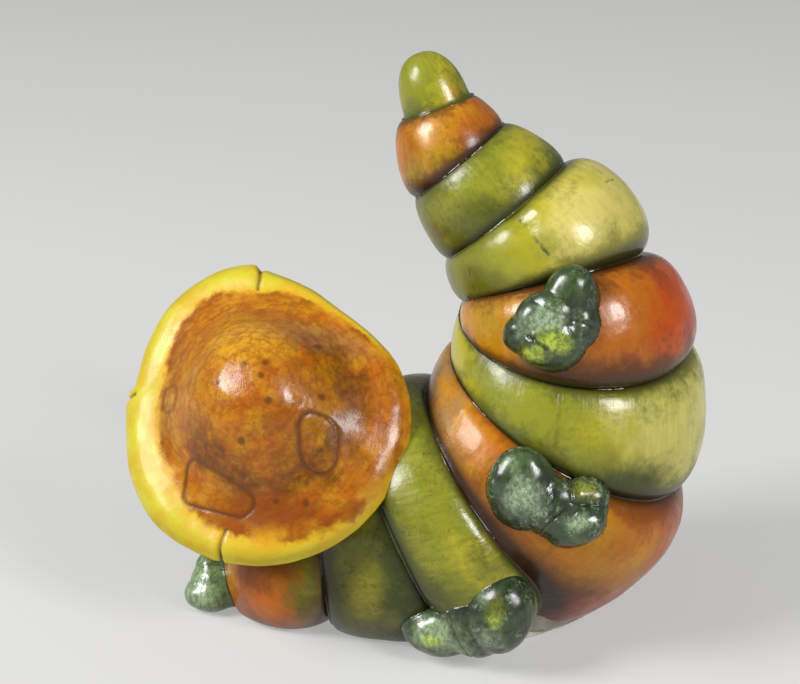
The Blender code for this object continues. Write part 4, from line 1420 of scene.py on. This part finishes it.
def legMaterial(name):
    material, w, shader, place = newMaterial(name + "Glaze")
    strokes = w.vector("MULTIPLY", place, (1.0, 1.0, 0.75))
    texture = textureAt(w, place, strokes, **legLook["texture"])
    paint = w.between(texture["Clouds"], "bottle", "darkBottle")
    # frosty where the glaze is thin, in scratchy strokes, partly painted sheen
    ridges = w.noise(strokes, 1.1, 5.0, 0.72)
    patches = w.spread(w.noise(w.vector("ADD", place, (9.0, 4.0, 1.0)), 0.20), 0.44, 0.58)
    frostAndSheen = w.times(w.spread(ridges, 0.49, 0.66), patches)
    paint = w.layer(paint, frostAndSheen, legLook["frostAndSheen"].get(name, legLook["frostAndSheenShare"]), "celadon")
    paint = w.layer(paint, texture["Streaks"], 0.2, "fern")
    ragged = w.spread(w.noise(w.scaled(strokes, 1.4), 0.8, 5.0, 0.7), 0.42, 0.58)
    for centre, size, dabColour, share in legLook["dabs"].get(name, ()):
        mask = w.group(dab, Place=place, Centre=centre, Size=size, Softness=0.9, Raggedness=1.3)["Mask"]
        mask = w.times(mask, w.timesPlus(ragged, 0.6, 0.4), clamp=True)
        paint = w.layer(paint, mask, share, dabColour, clamp=True)
    paint = w.layer(paint, w.times(texture["Grain"], texture["Mottle"]), 0.35, "darkBottle")
    # painted shade between the lobes and where the leg meets its rings
    paint = w.layer(paint, attribute(w, "groove"), 0.85, "darkBottle")
    height = w.timesPlus(w.times(ridges, patches), legLook["ridges"], texture["Height"])
    if name in legLook["wrinkles"]:
        folds = w.noise(w.vector("MULTIPLY", place, (1.0, 1.0, 0.16)), legLook["foldSize"], 0.0, 0.5)
        folds = w.math("ABSOLUTE", w.centred(folds))
        folds = w.times(w.spread(folds, 0.0, 0.10, 1.0, 0.0), legLook["wrinkles"][name])
        paint = w.layer(paint, folds, 0.5, "bottle")
        height = w.timesPlus(folds, -legLook["foldDepth"], height)
    for start, end, width in legLook["scores"].get(name, ()):
        mask = w.group(scratch, Place=place, From=start, To=end, Width=width)["Mask"]
        paint = w.layer(paint, mask, 0.9, "darkBottle")
        height = w.timesPlus(mask, -1.0, height)
    rough = w.spread(texture["Clouds"], 0.0, 1.0, 0.20, 0.30)
    return finishGlaze(material, w, shader, paint, rough, height, legLook["bump"], legLook["specular"])


# Reflection in the plane between a ring's left and right halves, then a move outwards
def middleMirror(ringName, outward):
    across, middle = Vector(), Vector()
    for crease in rings[ringName]["creases"]:
        centre, _, near, _ = creaseFrame(crease)
        across += near.normalized()
        middle += centre / 2
    across.normalize()
    flip = Matrix.Scale(-1.0, 4, across)
    place = Matrix.Translation(middle)
    return Matrix.Translation(-across * outward) @ place @ flip @ place.inverted()


# The lobes of a leg melted into one skin. Also the rings that carry it, and the places of its shown lobes
def legBody(name, leg):
    source = legs[leg["mirrors"]] if "mirrors" in leg else leg
    mirror = middleMirror(leg["ring"], leg["outward"]) if "mirrors" in leg else Matrix.Identity(4)
    seat = Vector(creases[source["crease"]][0])
    bm = bmesh.new()
    shown = []
    for way, halfSizes, lean, role in source["lobes"]:
        shape = Matrix.Rotation(math.radians(lean), 4, "Y") @ Matrix.Diagonal((*halfSizes, 1.0))
        place = mirror @ Matrix.Translation(seat + Vector(way)) @ shape
        bmesh.ops.create_uvsphere(bm, u_segments=40, v_segments=24, radius=1.0, matrix=place)
        if role == "shown":
            shown.append(place.inverted())
    bmesh.ops.recalc_face_normals(bm, faces=bm.faces[:])
    bmesh.ops.scale(bm, vec=(mm, mm, mm), verts=bm.verts[:])
    holder = hold(meshFrom(bm, name), name + "Lobes")
    remesh = holder.modifiers.new("skin", "REMESH")
    remesh.mode = "VOXEL"
    remesh.voxel_size = legShape["voxel"] * mm
    relax = holder.modifiers.new("relax", "SMOOTH")
    relax.iterations = legShape["smoothing"]
    return plainMesh(holder, name), source["carriers"], shown


# How near a point is to where two of the shown lobes meet, from 0 to 1
def betweenLobes(point, shown):
    reaches = sorted((lobe @ point).length for lobe in shown)
    return bell(reaches[1] - reaches[0], legShape["creaseWidth"]) if len(reaches) > 1 else 0.0


# How far the nearest ring is from a point, and the way from it to the point
def nearestRing(point, trees):
    spot, _, _, gap = min((tree.find_nearest(point * mm) for tree in trees), key=lambda found: found[3])
    return gap / mm, (point * mm - spot).normalized()


# Lumps and creases, then a fillet of glaze where the leg meets the rings that carry it, with painted shade
# in the creases between lobes and along that meeting
def finishLeg(mesh, carriers, shown, depth):
    graph = bpy.context.evaluated_depsgraph_get()
    trees = [BVHTree.FromObject(bpy.data.objects[ring], graph) for ring in carriers]
    normals = [v.normal.copy() for v in mesh.vertices]
    size = legShape["lumpSize"]
    groove = []
    for vert, normal in zip(mesh.vertices, normals):
        point = vert.co / mm
        lump = unevenness(point, size, 1.0) + 0.3 * unevenness(point, size / 2.2, 6.0)
        crease = betweenLobes(point, shown)
        point += normal * (lump * legShape["lumps"] + legShape["grow"] - crease * depth)
        gap, away = nearestRing(point, trees)
        paintedShade = 0.7 * crease ** 2
        if gap < legShape["filletEnd"]:
            sideways = normal - away * normal.dot(away)
            point += sideways * legShape["fillet"] * math.exp(-gap / legShape["filletReach"])
            paintedShade = max(paintedShade, math.exp(-gap / 0.5))
        point.z = max(point.z, legShape["lift"])
        vert.co = point * mm
        groove.append(paintedShade)
    keepNumbers(mesh, "groove", groove)
    makeSmooth(mesh)


for name, leg in legs.items():
    mesh, carriers, shown = legBody(name, leg)
    finishLeg(mesh, carriers, shown, leg.get("creaseDepth", legShape["creaseDepth"]))
    newPiece(name, mesh, legMaterial(name), leg["node"])
print("legs")


# Flat foot of bare clay, wiped clean of glaze
base = {
    "height": 1.5,
    "edge": 0.35,
    # along and half across, from the head's end to the rump's
    "stations": ((-36.0, 0.0), (-33.5, 6.0), (-27.0, 9.0), (-16.0, 7.5), (-4.0, 12.5), (10.0, 16.5),
                 (24.0, 18.5), (34.0, 14.5), (40.5, 8.0), (43.5, 0.0)),
    "pointsBetween": 12,
}


def clayMaterial():
    material, w, shader, place = newMaterial("bareClay")
    cloud = w.spread(w.noise(place, 0.12, 4.0, 0.6), 0.35, 0.68)
    grain = w.noise(place, 2.4, 4.0, 0.7)
    paint = w.between(cloud, "clay", "claySoil")
    paint = w.mix(w.spread(grain, 0.60, 0.72, 0.0, 0.5), paint, colour("greyBrown"))
    coverWith(w, shader, paint, w.spread(grain, 0.2, 0.8, 0.75, 0.95), grain, 0.6, 0.2)
    return material


def makeBase():
    near = [(x, -half) for x, half in base["stations"]]
    far = [(x, half) for x, half in reversed(base["stations"][1:-1])]
    corners = near + far
    corners = corners[-1:] + corners + corners[:2]
    outline = smoothThrough(corners, (len(corners) - 1) * base["pointsBetween"] + 1)
    outline = outline[base["pointsBetween"]:-2 * base["pointsBetween"] - 1]
    bm = bmesh.new()
    face = bm.faces.new([bm.verts.new((x * mm, y * mm, 0.0)) for x, y in outline])
    raised = bmesh.ops.extrude_face_region(bm, geom=[face])["geom"]
    top = [item for item in raised if isinstance(item, bmesh.types.BMVert)]
    bmesh.ops.translate(bm, vec=(0.0, 0.0, base["height"] * mm), verts=top)
    bmesh.ops.recalc_face_normals(bm, faces=bm.faces[:])
    piece = newPiece("base", meshFrom(bm, "base"), clayMaterial(), "base")
    soften = piece.modifiers.new("softEdge", "BEVEL")
    soften.width = base["edge"] * mm
    soften.segments = 3
    soften.limit_method = "ANGLE"


makeBase()
print("base")


# Floor, light and camera
studio = {
    "floorSize": 8000.0,
    "worldLight": 0.22,
    "backdropShare": 0.42,  # how much of the pale backdrop the camera and reflections see in the floor
    "floorSpecular": 0.05,  # no glare from the lamps on the floor
    "worldColour": (0.95, 0.97, 1.0, 1.0),
    "windows": {
        "leftWindow": {"from": (-0.75, -0.28, 0.60), "width": 520.0, "height": 620.0, "power": 22.0},
        "rightWindow": {"from": (0.60, -0.62, 0.50), "width": 340.0, "height": 440.0, "power": 12.0},
    },
    "windowDistance": 1300.0,
    "aim": (0.0, 0.0, 62.0),
}
camera = {
    "place": (0.0, -382.45, 207.90),
    "tilt": 70.0,
    "lens": 78.75,
    "sensor": 36.0,
}


def makeFloor():
    half = studio["floorSize"] * mm / 2
    mesh = bpy.data.meshes.new("floor")
    corners = [(-half, -half, 0), (half, -half, 0), (half, half, 0), (-half, half, 0)]
    mesh.from_pydata(corners, [], [(0, 1, 2, 3)])
    floor = hold(mesh, "floor")
    material, w, shader, place = newMaterial("paleFloor")
    w.plug(shader.inputs["Base Color"], colour("floor"))
    w.plug(shader.inputs["Roughness"], w.spread(w.noise(place, 0.05, 3.0), 0.3, 0.7, 0.66, 0.7))
    shader.inputs["Specular IOR Level"].default_value = studio["floorSpecular"]
    rays = w.add("ShaderNodeLightPath").outputs
    mirrored = w.math("MAXIMUM", rays["Is Glossy Ray"], rays["Is Transmission Ray"])
    seen = w.math("MAXIMUM", rays["Is Camera Ray"], mirrored)
    shader.inputs["Emission Color"].default_value = colour("backdrop")
    w.plug(shader.inputs["Emission Strength"], w.times(seen, studio["backdropShare"]))
    mesh.materials.append(material)


def makeWindow(name, lamp):
    light = bpy.data.lights.new(name, "AREA")
    light.shape = "RECTANGLE"
    light.size, light.size_y = lamp["width"] * mm, lamp["height"] * mm
    light.energy = lamp["power"]
    holder = hold(light, name)
    way = Vector(lamp["from"]).normalized()
    holder.location = (Vector(studio["aim"]) + way * studio["windowDistance"]) * mm
    holder.rotation_euler = way.to_track_quat("Z", "Y").to_euler()


def makeWorld():
    world = bpy.data.worlds.new("studio")
    world.use_nodes = True
    bpy.context.scene.world = world
    background = world.node_tree.nodes["Background"]
    background.inputs["Color"].default_value = studio["worldColour"]
    background.inputs["Strength"].default_value = studio["worldLight"]


def makeCamera():
    lens = bpy.data.cameras.new("camera")
    lens.lens = camera["lens"]
    lens.sensor_width = camera["sensor"]
    lens.clip_start, lens.clip_end = 10 * mm, 20.0
    holder = hold(lens, "camera")
    holder.location = Vector(camera["place"]) * mm
    holder.rotation_euler = (math.radians(camera["tilt"]), 0.0, 0.0)
    bpy.context.scene.camera = holder


makeFloor()
for name, lamp in studio["windows"].items():
    makeWindow(name, lamp)
makeWorld()
makeCamera()
bpy.context.scene.view_settings.view_transform = "Standard"
